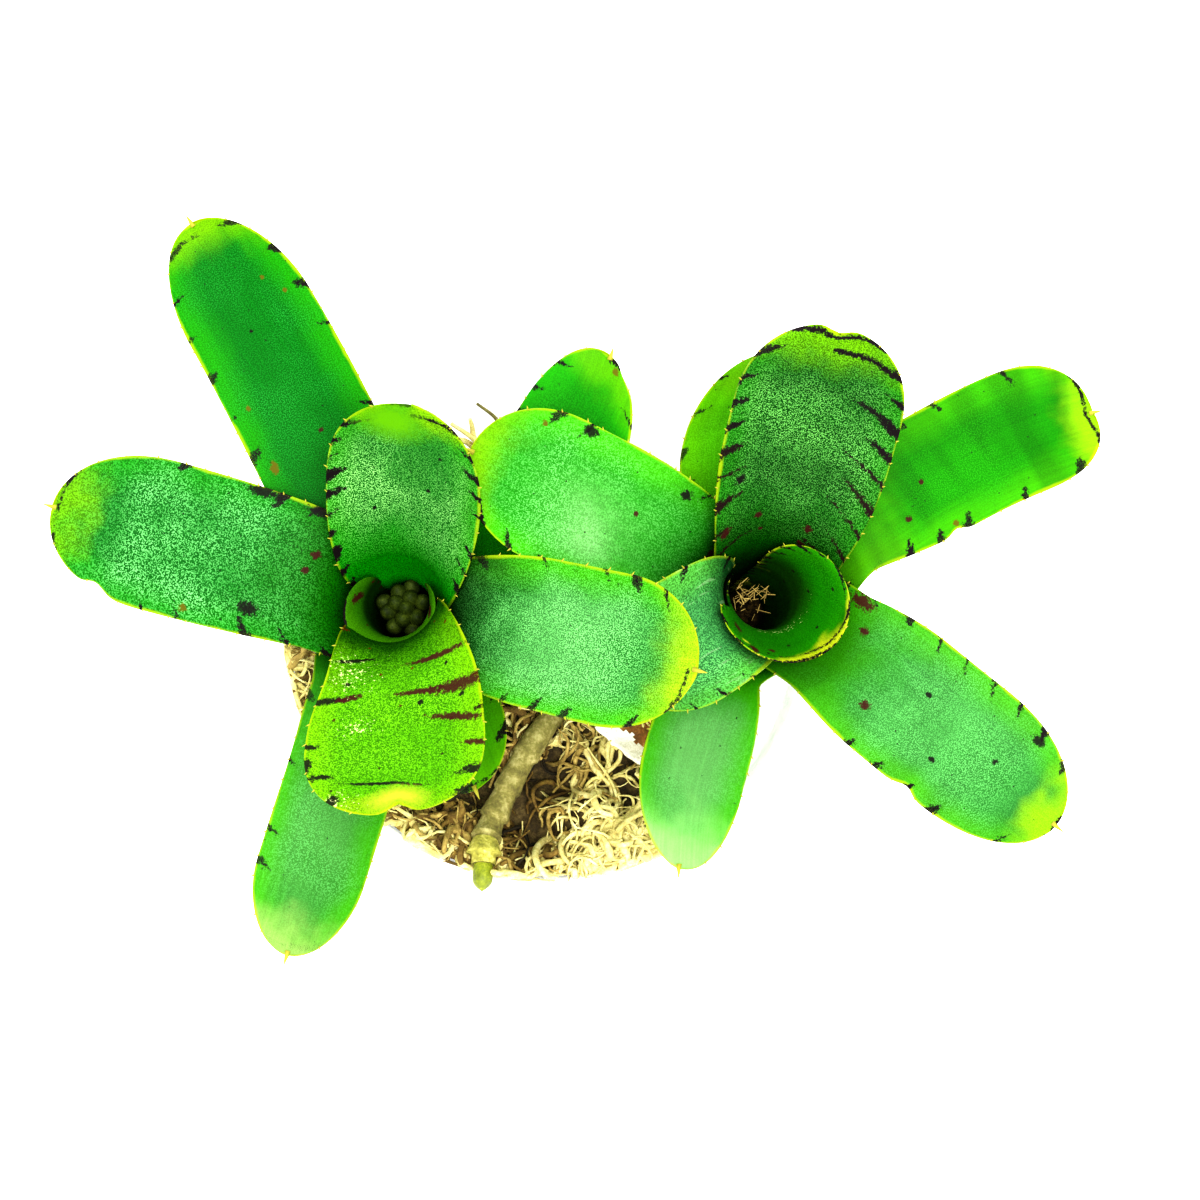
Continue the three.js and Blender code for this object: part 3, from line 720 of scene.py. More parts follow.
class Fibre(Enum):
    """The dry finishes of the part."""

    MOSS_BED = FibreFinish(
        "moss_bed", "#1c1507", "#433617", "#76653a", patch_mm=6.0, fibre_mm=1.2, relief_mm=1.5
    )
    STRAW = FibreFinish("straw_moss", "#948442", "#d4c682", "#f4ecb8", patch_mm=5.0)
    TAN = FibreFinish("tan_moss", "#5c4a1c", "#9a8446", "#c8b26c", patch_mm=5.0)
    BROWN = FibreFinish("brown_moss", "#33260c", "#66501f", "#907838", patch_mm=5.0)
    DARK = FibreFinish("dark_moss", "#171206", "#2c240f", "#46391c")
    STEM = FibreFinish("old_stem", "#2c2410", "#5c4a24", "#84703e", fibre_mm=1.2, relief_mm=0.8)
    RUNNER = FibreFinish(
        "runner_bark", "#4a4420", "#7c743c", "#b4aa74", patch_mm=5.0, fibre_mm=1.0, relief_mm=0.6
    )
    RUNNER_BUD = FibreFinish(
        "runner_bud", "#464e00", "#707a02", "#a2a624", patch_mm=4.0, roughness=0.5
    )
    RUNNER_HOOD = FibreFinish(
        "runner_hood", "#5c5a20", "#a09a44", "#d4cc80", patch_mm=3.0, fibre_mm=1.0, relief_mm=0.6
    )
    ROOT = FibreFinish("aerial_root_bark", "#3e3a1c", "#6a6434", "#8c8450", patch_mm=5.0)
    SPENT = FibreFinish("spent_flower", "#120e06", "#281f0e", "#564620", patch_mm=3.0, gloss=0.1)
    WITHERED = FibreFinish(
        "withered_leaf", "#4a2c0c", "#8a5a20", "#b08850", patch_mm=8.0, roughness=0.6
    )
    BLEACHED = FibreFinish(
        "bleached_leaf", "#bcae90", "#f0eadc", "#faf7ee", patch_mm=14.0, roughness=0.6
    )
    FLOWER_BUD = FibreFinish(
        "flower_bud", "#121a08", "#28330a", "#424c14", patch_mm=3.0, roughness=0.6, relief_mm=0.1,
        gloss=0.1
    )


# ---------- leaves ----------
@dataclass(frozen=True)
class Rosette:
    """One rosette: where its sheaths spring from the stem, its lean, and the tube they wrap."""

    name: str
    base: tuple[float, float, float]
    lean: tuple[float, float]
    tube: float
    foot: float
    mouth: float
    rooted: float
    head_top: float
    stem_top: float = 18

    def matrix(self) -> Matrix:
        """Places the rosette's own frame in the part's."""
        turn_x = Matrix.Rotation(radians(self.lean[0]), 4, "X")
        turn_y = Matrix.Rotation(radians(self.lean[1]), 4, "Y")
        return Matrix.Translation(self.base) @ turn_x @ turn_y

    def tube_radius(self, z: float) -> float:
        """The tube's radius at a height."""
        return mix(self.foot, self.mouth, smooth(0, 0.85 * self.tube, z))


@dataclass(frozen=True)
class Bite:
    """A nick in a margin: its side, how far along the blade it is, and its depth and width."""

    side: int
    share: float
    depth: float
    width: float


@dataclass(frozen=True)
class Leaf:
    """One strap leaf; the names and numbers are those of the frame's leaf."""

    azimuth: float
    length: float
    half_width: float
    rise: float
    drop: float
    tone: LeafTone
    bend: float = 40
    sweep: float = 0
    neck: float = 0.75
    full: float = 0.55
    tip: float = 1.15
    round: float = 2.2
    flat: float = 2
    channel: float = 0.12
    wave: float = 0.5
    blend: float = 0.3
    wrap: float = 85
    bites: tuple[Bite, ...] = ()
    marks: tuple[Mark, ...] = ()
    tip_notch: float = 0.0
    tip_side: float = 0.0
    skew: float = 0.0
    spiny: bool = True
    pointed: bool = True


ROLLED = dict(neck=1, flat=1, channel=0, wave=0, tip=0.8)
BROAD = dict(full=0.6, channel=0.05, flat=2.4, tip=0.95, round=2.6)
UPRIGHT = BROAD | dict(bend=28, neck=0.7, tip=1.2)
LONG = dict(full=0.9, tip=1.65, round=1.95)
SLIM = dict(full=0.6, tip=1.6, round=1.8)

LEFT = Rosette("left", (-28, -6, 98), (0, -8), tube=82, foot=7.5, mouth=9.5, rooted=26, head_top=77)
RIGHT = Rosette(
    "right", (47.5, -2, 95), (0, 10), tube=75, foot=7.5, mouth=10, rooted=44, head_top=58
)

LEFT_LEAVES = [
    Leaf(
        262, 16, 22, 42, 0, LeafTone.COLLAR, bend=17, wrap=135, blend=0.8, **ROLLED, spiny=False,
        marks=(Mark(8, -17, 1.6, WINE, 1.6), Mark(9, 16, 1.6, WINE, 1.6), Mark(3, 9, 0.9, WINE))
    ),
    Leaf(
        281.5, 80.5, 24.5, 33, 2, LeafTone.LIME, **BROAD | {"neck": 0.62, "full": 0.65},
        tip_notch=3.0, pointed=False, skew=6.5, bites=(Bite(-1, 0.44, 4.0, 17.0),),
        marks=(
            Mark(33.5, 13, 11, WINE, 0.09, 13), Mark(45.5, 18, 10, WINE, 0.2, 13),
            Mark(42.5, 7, 8, WINE, 0.12, 13), Mark(54, 17, 9, WINE, 0.13, 20),
            Mark(62.5, 22, 4, WINE, 0.2, 18), Mark(69.5, 22, 6, stretch=0.25),
            Mark(75, 18, 4, stretch=0.3, turn=-20), Mark(42.5, -18, 7.5, BRUISE, 0.14, -17),
            Mark(41, -12, 4, WINE, 0.25, -17), Mark(28, -11, 7, BRUISE, 0.11, -18),
            Mark(66.4, -20, 4, stretch=0.22), Mark(57, -23, 3.2, stretch=0.3),
            Mark(62.6, -23.6, 1.6, stretch=1.6), Mark(74, -17, 2.0, stretch=1.0),
            Mark(70.5, -3, 12, BRUISE, 0.045, 9), Mark(46.1, 7.2, 0.9), Mark(36.2, -12.3, 0.75),
            Mark(37.2, 15.3, 0.6), Mark(48.5, 18.9, 0.8), Mark(51, -10, 3.8, CHALK, 0.7),
            Mark(33, -12, 5.0, CHALK), Mark(75, -15, 3.4, CHALK, 0.7), Mark(76, 0, 7.5, YELLOW, 0.5)
        )
    ),
    Leaf(
        72.5, 66, 22.5, 50, 3.5, LeafTone.FOREST, **UPRIGHT | {"neck": 0.86}, pointed=False,
        marks=(Mark(60, 5, 9, LIME, 0.7), Mark(40, -6, 0.8), Mark(30, 9, 0.7), Mark(52, -9, 0.6))
    ),
    Leaf(343.7, 98, 20.3, 18, 7, LeafTone.MINT, neck=0.62),
    Leaf(
        164.6, 97.5, 21, 12, 10, LeafTone.SCURFY, neck=0.92, full=0.65, tip=1.4,
        bites=(Bite(1, 0.83, 2.2, 3.2),),
        marks=(
            Mark(57, 17.5, 1.2, RUST), Mark(27, -2, 1.2, WINE), Mark(26, -7, 1.4, WINE),
            Mark(46, -19.5, 1.8, stretch=2.6), Mark(31, -19, 1.6, stretch=2.2),
            Mark(40, 13, 2.2, stretch=1.4)
        )
    ),
    Leaf(
        114, 119.5, 18.3, 10, 13, LeafTone.EMERALD, sweep=3.5, **LONG | {"neck": 1.05},
        marks=(
            Mark(66.5, 13, 0.8, RUST), Mark(97, -8.5, 0.7, RUST), Mark(91, -12, 0.8, RUST),
            Mark(49, 14, 1.3, RUST, 1.5), Mark(85, 2, 0.6), Mark(52, -2, 0.8, WINE)
        )
    ),
    Leaf(255, 98, 15.2, 6, 16, LeafTone.WILLOW, neck=1.2, tip=1.4, round=1.85),
    Leaf(
        35, 87, 17.8, 2, 19.5, LeafTone.GRASS, sweep=13.5, tip=1.4, round=1.9,
        bites=(Bite(-1, 0.975, 1.6, 1.6),),
        marks=(Mark(84.5, -3, 1.0, RUST), Mark(72, -14, 1.2, RUST))
    ),
    Leaf(293.5, 51, 16, 2, 22, LeafTone.OLIVE)
]
RIGHT_LEAVES = [
    Leaf(
        287, 33, 30, 56, 0, LeafTone.ROLLED, bend=22, wrap=164, blend=0.94, **ROLLED, tip_side=9.0,
        pointed=False, bites=(Bite(-1, 0.4, 17.0, 9.0),),
        marks=(
            # the three pale marks inside the funnel are a painted highlight: the bright arc where
            # light catches it
            Mark(13.6, -1, 8, CHALK, 0.2), Mark(13.6, -2, 6, CHALK, 0.14), Mark(10, -6, 1.6, CHALK),
            Mark(26.7, -8, 1.0, WINE, 0.8), Mark(29, -14, 1.4, WINE, 1.3),
            Mark(22, -17, 1.3, WINE, 1.5), Mark(27, -16, 1.2, YELLOW, 0.6)
        )
    ),
    Leaf(213, 61, 18, 14, 2, LeafTone.SILVER, neck=0.9, channel=0.15),
    Leaf(
        81.5, 83.2, 23.5, 36, 4, LeafTone.BARRED, **BROAD | {"tip": 1.05}, tip_notch=2.0,
        pointed=False,
        marks=(
            Mark(27, 8, 1.2, WINE, 0.8), Mark(19, -7, 1.6, WINE), Mark(25, -7, 1.3, WINE),
            Mark(24, 17, 1.6, WINE), Mark(38, 16, 1.6), Mark(22, 6, 0.7, WINE)
        )
    ),
    Leaf(
        317.7, 103, 20.5, 14, 7, LeafTone.JADE, neck=0.64, full=0.5, tip=1.55,
        bites=(Bite(-1, 0.66, 1.8, 3.0),),
        marks=(
            Mark(44, -8, 1.5, WINE), Mark(31, 8.7, 1.4, WINE), Mark(28, 15.5, 2.2, WINE, 1.6),
            Mark(67, -8, 1.0), Mark(55, 6, 1.0), Mark(80, 3, 0.9), Mark(86, 15, 1.4, stretch=1.6)
        )
    ),
    Leaf(
        159, 94, 21, 10.3, 9, LeafTone.PALE, neck=0.7, full=0.6,
        marks=(
            Mark(67, -19, 1.6, stretch=1.5), Mark(79, -15.5, 0.9, RUST), Mark(36, -15, 1.6),
            Mark(16, -4, 3.4, WINE), Mark(45, -4, 0.8, WINE)
        )
    ),
    Leaf(
        38.6, 106.5, 18, 8, 12, LeafTone.FERN, skew=6.0, round=2.5, sweep=-9, neck=0.45, tip=1.4,
        bites=(Bite(-1, 0.52, 1.6, 2.6),),
        marks=(Mark(45, -7, 1.1, WINE), Mark(54, 0, 0.8, WINE), Mark(56, -15, 1.0, RUST))
    ),
    Leaf(242.5, 78, 15, 2, 15, LeafTone.SAGE, sweep=9, neck=0.45, **SLIM),
    Leaf(111.5, 66, 15, 2, 18, LeafTone.FRESH, sweep=-24, **SLIM | {"tip": 2})
]


class Midrib:
    """A leaf's midrib in its rosette's plane of radius and height."""

    PITCH = 1.4
    TUBE_STEPS = 40
    BLADE_STEPS = 200

    def __init__(self, rosette: Rosette, leaf: Leaf, layer: int) -> None:
        """Walks up the tube and out along the blade.

        Args:
            rosette: the leaf's rosette.
            leaf: the leaf's sizes.
            layer: how many younger leaves its sheath wraps.
        """
        rows: list[tuple[float, float, float, float]] = []
        length = 0.0
        for i in range(self.TUBE_STEPS + 1):
            z = (rosette.tube - leaf.drop) * i / self.TUBE_STEPS
            r = rosette.tube_radius(z) + layer * self.PITCH
            lean = atan(rosette.tube_radius(z + 0.5) - rosette.tube_radius(z - 0.5))
            if rows:
                length += hypot(r - rows[-1][0], z - rows[-1][1])
            rows.append((r, z, lean, length))
        r, z, start_lean, _ = rows[-1]
        step = leaf.length / self.BLADE_STEPS
        end_lean = radians(90 - leaf.rise)
        for i in range(1, self.BLADE_STEPS + 1):
            lean = mix(start_lean, end_lean, smooth(0, leaf.bend, (i - 0.5) * step))
            r += sin(lean) * step
            z += cos(lean) * step
            rows.append((r, z, lean, length + i * step))
        self.rows = rows
        self.tube_length = length
        self.total = length + leaf.length

    def at(self, s: float) -> tuple[float, float, float]:
        """Radius, height and lean at a distance along the midrib."""
        if s <= self.tube_length:
            place = self.TUBE_STEPS * s / self.tube_length
        else:
            share = (s - self.tube_length) / (self.total - self.tube_length)
            place = self.TUBE_STEPS + self.BLADE_STEPS * share
        i = min(max(int(place), 0), len(self.rows) - 2)
        share = place - i
        a, b = self.rows[i], self.rows[i + 1]
        return tuple(mix(a[k], b[k], share) for k in range(3))


def leaf_grid(across: int, along: int) -> tuple[BMesh, dict[str, Any]]:
    """A flat grid of cells, and its vertex layer for each of a leaf's measures."""
    bm = bmesh.new()
    layers = {name: bm.verts.layers.float.new("leaf_" + name) for name in LEAF_MEASURES}
    bmesh.ops.create_grid(bm, x_segments=across, y_segments=along, size=1)
    return bm, layers


@dataclass
class LeafBuilder:
    """Builds one leaf's mesh and dresses it."""

    rosette: Rosette
    leaf: Leaf
    layer: int
    across_cells: int = 26
    along_cells: int = 96
    tube_share: float = 0.14
    thickness: float = 0.85
    spine_pitch: float = 6.6
    spine_length: float = 1.15
    spine_radius: float = 0.36
    point_length: float = 4.0
    rib: Midrib = field(init=False)

    def __post_init__(self) -> None:
        """Lays the midrib."""
        self.rib = Midrib(self.rosette, self.leaf, self.layer)

    @property
    def name(self) -> str:
        """The leaf's node in the frame."""
        return f"leaf_{self.rosette.name}_{self.layer + 1}"

    @property
    def number(self) -> float:
        """The leaf's own number, which keeps its pattern apart from the others'."""
        return 37.0 * self.layer + (500.0 if self.rosette is RIGHT else 0.0)

    def half_width(self, u: float, r: float) -> float:
        """Half the leaf's width at a share of its blade."""
        leaf = self.leaf
        tip_share = min(leaf.tip * leaf.half_width / leaf.length, 0.6)
        body = mix(leaf.neck, 1, smooth(0, leaf.full, u))
        into_tip = clamp((u - 1 + tip_share) / tip_share)
        strap = leaf.half_width * body * sqrt(max(0.0, 1 - into_tip**leaf.round))
        return mix(radians(leaf.wrap) * r, strap, smooth(0, leaf.blend, u))

    def surface(self, s: float, t: float) -> tuple[Vector, float]:
        """A point of the leaf's middle surface.

        Args:
            s: distance along the midrib from the sheath's foot.
            t: place across, from -1 to 1.

        Returns:
            The point in the rosette's frame, and the leaf's half width there.
        """
        leaf = self.leaf
        u = clamp((s - self.rib.tube_length) / leaf.length)
        r, z, lean = self.rib.at(s)
        half = self.half_width(u, r)
        shift = 0.0
        if leaf.tip_notch:
            shift -= leaf.tip_notch * exp(-((t * half / 3.5) ** 2)) * smooth(
                7.0, 0.0, self.rib.total - s
            )
        if leaf.skew * t > 0:
            shift += leaf.skew * t * half / leaf.half_width * smooth(0.5, 0.9, u)
        if shift:
            r, z, lean = self.rib.at(s + shift)
        for bite in leaf.bites:
            if bite.side * t > 0:
                gap = (u - bite.share) * leaf.length / bite.width
                half -= bite.depth * t * t * exp(-gap * gap)
        bow = r * mix(1, leaf.flat, smooth(0, 0.8, u))
        turn = t * half / bow
        at_margin = leaf.wave * smooth(0.2, 0.6, u) * abs(t) ** 3
        ripple = at_margin * sin(9 * u + leaf.azimuth + 2 * t)
        lift = leaf.channel * smooth(0.05, 0.5, u) * half * t * t + ripple
        out = r - bow * (1 - cos(turn)) - cos(lean) * lift
        side = bow * sin(turn)
        angle = radians(leaf.azimuth) + radians(leaf.sweep) * u * u
        turned = polar(out, angle, z + sin(lean) * lift) + polar(side, angle + pi / 2, 0)
        return turned, half

    def measure(
        self, vert: Any, layers: dict[str, Any], t: float, along: float, half: float
    ) -> None:
        """Stores a point's measures on its vertex.

        Args:
            vert: the vertex.
            layers: the mesh's layer for each measure.
            t: place across, from -1 to 1.
            along: distance along the blade from its foot.
            half: the leaf's half width there.
        """
        rest = self.leaf.length - along
        vert[layers["across"]] = t * half
        vert[layers["along"]] = along
        vert[layers["share"]] = along / self.leaf.length
        vert[layers["rim"]] = min((1 - abs(t)) * half, rest)
        vert[layers["tip"]] = rest
        if self.leaf.tip_side:
            beside = max(0.0, abs(t * half - self.leaf.tip_side) - 9.0)
            vert[layers["tip"]] = vert[layers["rim"]] + 0.5 * beside
        vert[layers["number"]] = self.number

    def blade(self) -> BMesh:
        """The leaf's skin as a closed sheet with its measures stored on its vertices."""
        bm, layers = leaf_grid(self.across_cells, self.along_cells)
        for vert in bm.verts:
            t = sin(pi / 2 * clamp(vert.co.x, -1.0))
            place = clamp((vert.co.y + 1) / 2)
            if place < self.tube_share:
                s = self.rib.tube_length * place / self.tube_share
            else:
                rest = (place - self.tube_share) / (1 - self.tube_share)
                s = self.rib.tube_length + self.leaf.length * (1 - (1 - rest) ** 1.6)
            point, half = self.surface(s, t)
            self.measure(vert, layers, t, s - self.rib.tube_length, half)
            vert.co = point
        bmesh.ops.remove_doubles(bm, verts=bm.verts, dist=0.004)
        bmesh.ops.recalc_face_normals(bm, faces=bm.faces)
        bm.normal_update()
        outward = bm.verts.layers.float_vector.new("outward")
        for vert in bm.verts:
            half = self.thickness / 2 * mix(0.4, 1.0, smooth(0.0, 2.5, vert[layers["rim"]]))
            vert[outward] = vert.normal * half
        made = bmesh.ops.extrude_face_region(bm, geom=bm.faces[:], use_keep_orig=True)
        copies = {item for item in made["geom"] if isinstance(item, bmesh.types.BMVert)}
        for vert in bm.verts:
            vert.co += vert[outward] * (-1 if vert in copies else 1)
        bm.verts.layers.float_vector.remove(outward)
        return bm

    def add_spines(self, bm: BMesh) -> None:
        """Sets the marginal spines and the point at the tip on a finished skin."""
        state = random.Random(self.layer + (50 if self.rosette is RIGHT else 0))
        strap = self.leaf.length * 0.985
        count = max(3, round(strap / self.spine_pitch))
        for side in (-1, 1):
            for i in range(count):
                share = (i + 0.6 + state.uniform(-0.2, 0.2)) / count
                if share >= 0.8:
                    share = 0.8 + 0.2 * sin((share - 0.8) / 0.2 * 1.3)
                s = self.rib.tube_length + strap * share
                foot, _ = self.surface(s, side)
                inner, _ = self.surface(s, side * 0.9)
                ahead, _ = self.surface(min(s + 0.5, self.rib.total), side)
                heading = (foot - inner).normalized() + 0.7 * (ahead - foot).normalized()
                length = self.spine_length * state.uniform(0.7, 1.15)
                self.add_cone(bm, foot, heading, self.spine_radius, length)
        if self.leaf.pointed:
            end, _ = self.surface(self.rib.total, 0)
            before, _ = self.surface(self.rib.total - 4, 0)
            self.add_cone(bm, end - (end - before) * 0.2, end - before, 0.9, self.point_length)

    @staticmethod
    def add_cone(bm: BMesh, foot: Vector, heading: Vector, radius: float, length: float) -> None:
        """Stands a slender cone on a point, and marks its vertices as a spine's."""
        place = upright(foot, heading.normalized()) @ Matrix.Translation((0, 0, length / 2 - 0.3))
        made = bmesh.ops.create_cone(
            bm, cap_ends=True, segments=6, radius1=radius, radius2=radius * 0.08, depth=length,
            matrix=place
        )
        for vert in made["verts"]:
            vert[bm.verts.layers.float["leaf_spine"]] = 1.0

    def build(self) -> Object:
        """Makes the leaf, in place."""
        bm = self.blade()
        if self.leaf.spiny:
            self.add_spines(bm)
        bmesh.ops.transform(bm, matrix=self.rosette.matrix(), verts=bm.verts)
        bmesh.ops.recalc_face_normals(bm, faces=bm.faces)
        finish = self.leaf.tone.value.material(self.leaf.marks)
        return finish_piece(self.name + "_blade", bm, [finish], "leaf", self.name)


_materials: dict[Enum, Material] = {}


def material_of(finish: Enum) -> Material:
    """The material of a named finish, made once."""
    if finish not in _materials:
        _materials[finish] = finish.value.material()
    return _materials[finish]


# ---------- stems and flower heads ----------
@dataclass
class StemBuilder:
    """A rosette's short stem, ringed by the scars of fallen leaves."""

    rosette: Rosette
    radius: float = 6.6
    shoulder: float = 1.2
    scar_pitch: float = 4.2
    scar_depth: float = 0.45
    turns: int = 40

    def build(self) -> Object:
        """Spins the stem's outline about its axis."""
        low, high = -self.rosette.rooted, self.rosette.stem_top
        steps = round((high - low - 2 * self.shoulder) / 0.7)
        outline = [(0.0, low), (self.radius - self.shoulder, low)]
        for i in range(steps + 1):
            z = mix(low + self.shoulder, high - self.shoulder, i / steps)
            scar = abs(sin(pi * z / self.scar_pitch)) ** 0.5
            outline.append((self.radius - self.scar_depth * (1 - scar), z))
        outline += [(self.radius - self.shoulder, high), (0.0, high)]
        bm = spun(outline, self.turns)
        bmesh.ops.transform(bm, matrix=self.rosette.matrix(), verts=bm.verts)
        name = f"stem_{self.rosette.name}"
        return finish_piece(name + "_bark", bm, [Fibre.STEM], "stem", name)


@dataclass
class Throat:
    """The slope from the foot of a leaf's blade down into the cup, in the leaf's own finish."""

    blade: LeafBuilder
    name: str
    start: float = 16.0
    span: float = 0.92
    mouth: float = 8.9
    mouth_height: float = 79.0
    depth: float = 9.0
    thickness: float = 0.4

    def place(self, t: float, share: float) -> Vector:
        """A point of the slope: across the blade, and up it from 0 in the cup to 1 on the blade."""
        foot, _ = self.blade.surface(self.blade.rib.tube_length + self.start, t)
        away = hypot(foot.x, foot.y) + 0.15
        knots = [(self.mouth - 0.2, 0, self.mouth_height - self.depth)]
        for part in (0, 0.33, 0.67, 1):
            knots.append((mix(self.mouth, away, part), 0, mix(self.mouth_height, foot.z, part)))
        line = smooth_path(knots, 6)
        row = share * (len(line) - 1)
        i = min(int(row), len(line) - 2)
        spot = line[i].lerp(line[i + 1], row - i)
        wall, _ = self.blade.surface(self.blade.rib.tube_length + self.start * share, t)
        slope = polar(spot.x, atan2(foot.y, foot.x), spot.z)
        return slope.lerp(wall, smooth(0.7, 1.0, abs(t) / self.span))

    def build(self) -> Object:
        """Makes the slope as a thin sheet."""
        leaf = self.blade.leaf
        bm, layers = leaf_grid(64, 24)
        for vert in bm.verts:
            t, share = self.span * vert.co.x, clamp((vert.co.y + 1) / 2)
            _, half = self.blade.surface(self.blade.rib.tube_length + self.start, t)
            self.blade.measure(vert, layers, t, self.start - 20.0 * (1 - share), half)
            vert.co = self.place(t, share)
        bmesh.ops.recalc_face_normals(bm, faces=bm.faces)
        bmesh.ops.solidify(bm, geom=bm.faces[:], thickness=self.thickness)
        bmesh.ops.recalc_face_normals(bm, faces=bm.faces)
        bmesh.ops.transform(bm, matrix=self.blade.rosette.matrix(), verts=bm.verts)
        return finish_piece(self.name, bm, [leaf.tone.value.material(())], "leaf")


def spun(outline: Sequence[tuple[float, float]], steps: int) -> BMesh:
    """Spins an outline of radius and height about +Z.

    Args:
        outline: points that start and end on the axis.
        steps: how many steps the full turn takes.

    Returns:
        A closed bmesh with its faces outwards.
    """
    bm = bmesh.new()
    verts = [bm.verts.new((r, 0, z)) for r, z in outline]
    edges = [bm.edges.new(pair) for pair in zip(verts, verts[1:])]
    bmesh.ops.spin(
        bm, geom=verts + edges, cent=(0, 0, 0), axis=(0, 0, 1), angle=tau, steps=steps,
        use_merge=True
    )
    bmesh.ops.remove_doubles(bm, verts=bm.verts, dist=0.001)
    bmesh.ops.recalc_face_normals(bm, faces=bm.faces)
    return bm


@dataclass
class FlowerHead:
    """A head of florets on a stalk, deep inside a rosette's cup."""

    rosette: Rosette
    spread: float
    dome: float
    count: int
    stalk: float = 3.4
    cushion: float = 6
    height: float = 8
    crown: float = 2
    gap: float = 0.4
    fan: float = 12

    @property
    def top(self) -> float:
        """The height of the cushion's edge in the rosette's frame."""
        return self.rosette.head_top

    def places(self) -> list[Vector]:
        """Points on a shallow dome, spread by the golden angle."""
        found = []
        for i in range(self.count):
            share = (i + 0.4) / self.count
            turn = radians(GOLDEN_ANGLE) * i
            found.append(polar(self.spread * sqrt(share), turn, self.dome * (1 - share)))
        return found

    def body(self) -> BMesh:
        """The stalk and its cushion."""
        foot = self.rosette.stem_top + self.gap
        return spun(
            [
                (0, foot), (self.stalk, foot), (self.stalk, self.top - self.height),
                (self.cushion, self.top - 1), (self.cushion - 2, self.top + self.crown - 0.6),
                (0, self.top + self.crown)
            ],
            24
        )


@dataclass
class FlowerBuds(FlowerHead):
    """Plump olive buds in the left-hand cup."""

    spread: float = 6.7
    dome: float = 3.0
    count: int = 12
    bud_radius: float = 2.5

    def build(self) -> Object:
        """Sets the buds on their cushion."""
        bm = self.body()
        for place in self.places():
            stand = upright(
                (place.x, place.y, self.top + place.z), Vector((place.x, place.y, self.fan))
            )
            made = bmesh.ops.create_uvsphere(
                bm, u_segments=14, v_segments=10, radius=self.bud_radius, matrix=Matrix.Identity(4)
            )
            for vert in made["verts"]:
                upward = max(0.0, vert.co.z / self.bud_radius)
                vert.co.z *= 1.1 + 0.1 * upward**3
                vert.co.xy *= 1 - 0.12 * upward
            bmesh.ops.transform(bm, matrix=stand, verts=made["verts"])
        bmesh.ops.transform(bm, matrix=self.rosette.matrix(), verts=bm.verts)
        return finish_piece("flower_buds", bm, [Fibre.FLOWER_BUD], "flower_bud", "flower_buds_left")


@dataclass
class SpentFlowers(FlowerHead):
    """Dry stubs and straws left in the right-hand cup."""

    spread: float = 4.4
    dome: float = 2.0
    count: int = 16
    straws: int = 40
    seed: int = 7

    def build(self) -> list[Object]:
        """Sets the stubs on their cushion, and the loose straws over them."""
        state = random.Random(self.seed)
        bm = self.body()
        for x, y, z in self.places():
            length = state.uniform(4, 9)
            heading = Vector((x + state.uniform(-4, 4), y + state.uniform(-4, 4), self.fan))
            stand = upright((x, y, self.top + z + length / 2 - 2), heading)
            bmesh.ops.create_cone(
                bm, cap_ends=True, segments=7, radius1=0.85, radius2=0.3, depth=length, matrix=stand
            )
        bmesh.ops.transform(bm, matrix=self.rosette.matrix(), verts=bm.verts)
        slot = "spent_flower"
        head = finish_piece("spent_flowers", bm, [Fibre.SPENT], slot, "spent_flowers_right")
        strands = []
        for _ in range(self.straws):
            turn, away = state.uniform(0, tau), state.uniform(0, 5.6)
            middle = polar(away, turn, self.top + state.uniform(5, 15)) + Vector((0, 2, 0))
            heading = Vector((state.uniform(-1, 1), state.uniform(-1, 1), state.uniform(-0.4, 0.5)))
            half = heading.normalized() * state.uniform(0.9, 2.3) / 2
            points = [self.rosette.matrix() @ (middle + half * k) for k in (-2, -1, 0, 1, 2)]
            radius = state.uniform(0.1, 0.2)
            strands.append(Strand(points, [radius * share for share in (0.6, 1, 1, 1, 0.4)]))
        return [head, finish_piece("cup_straws", strands_mesh(strands, 6), [Fibre.TAN], slot)]


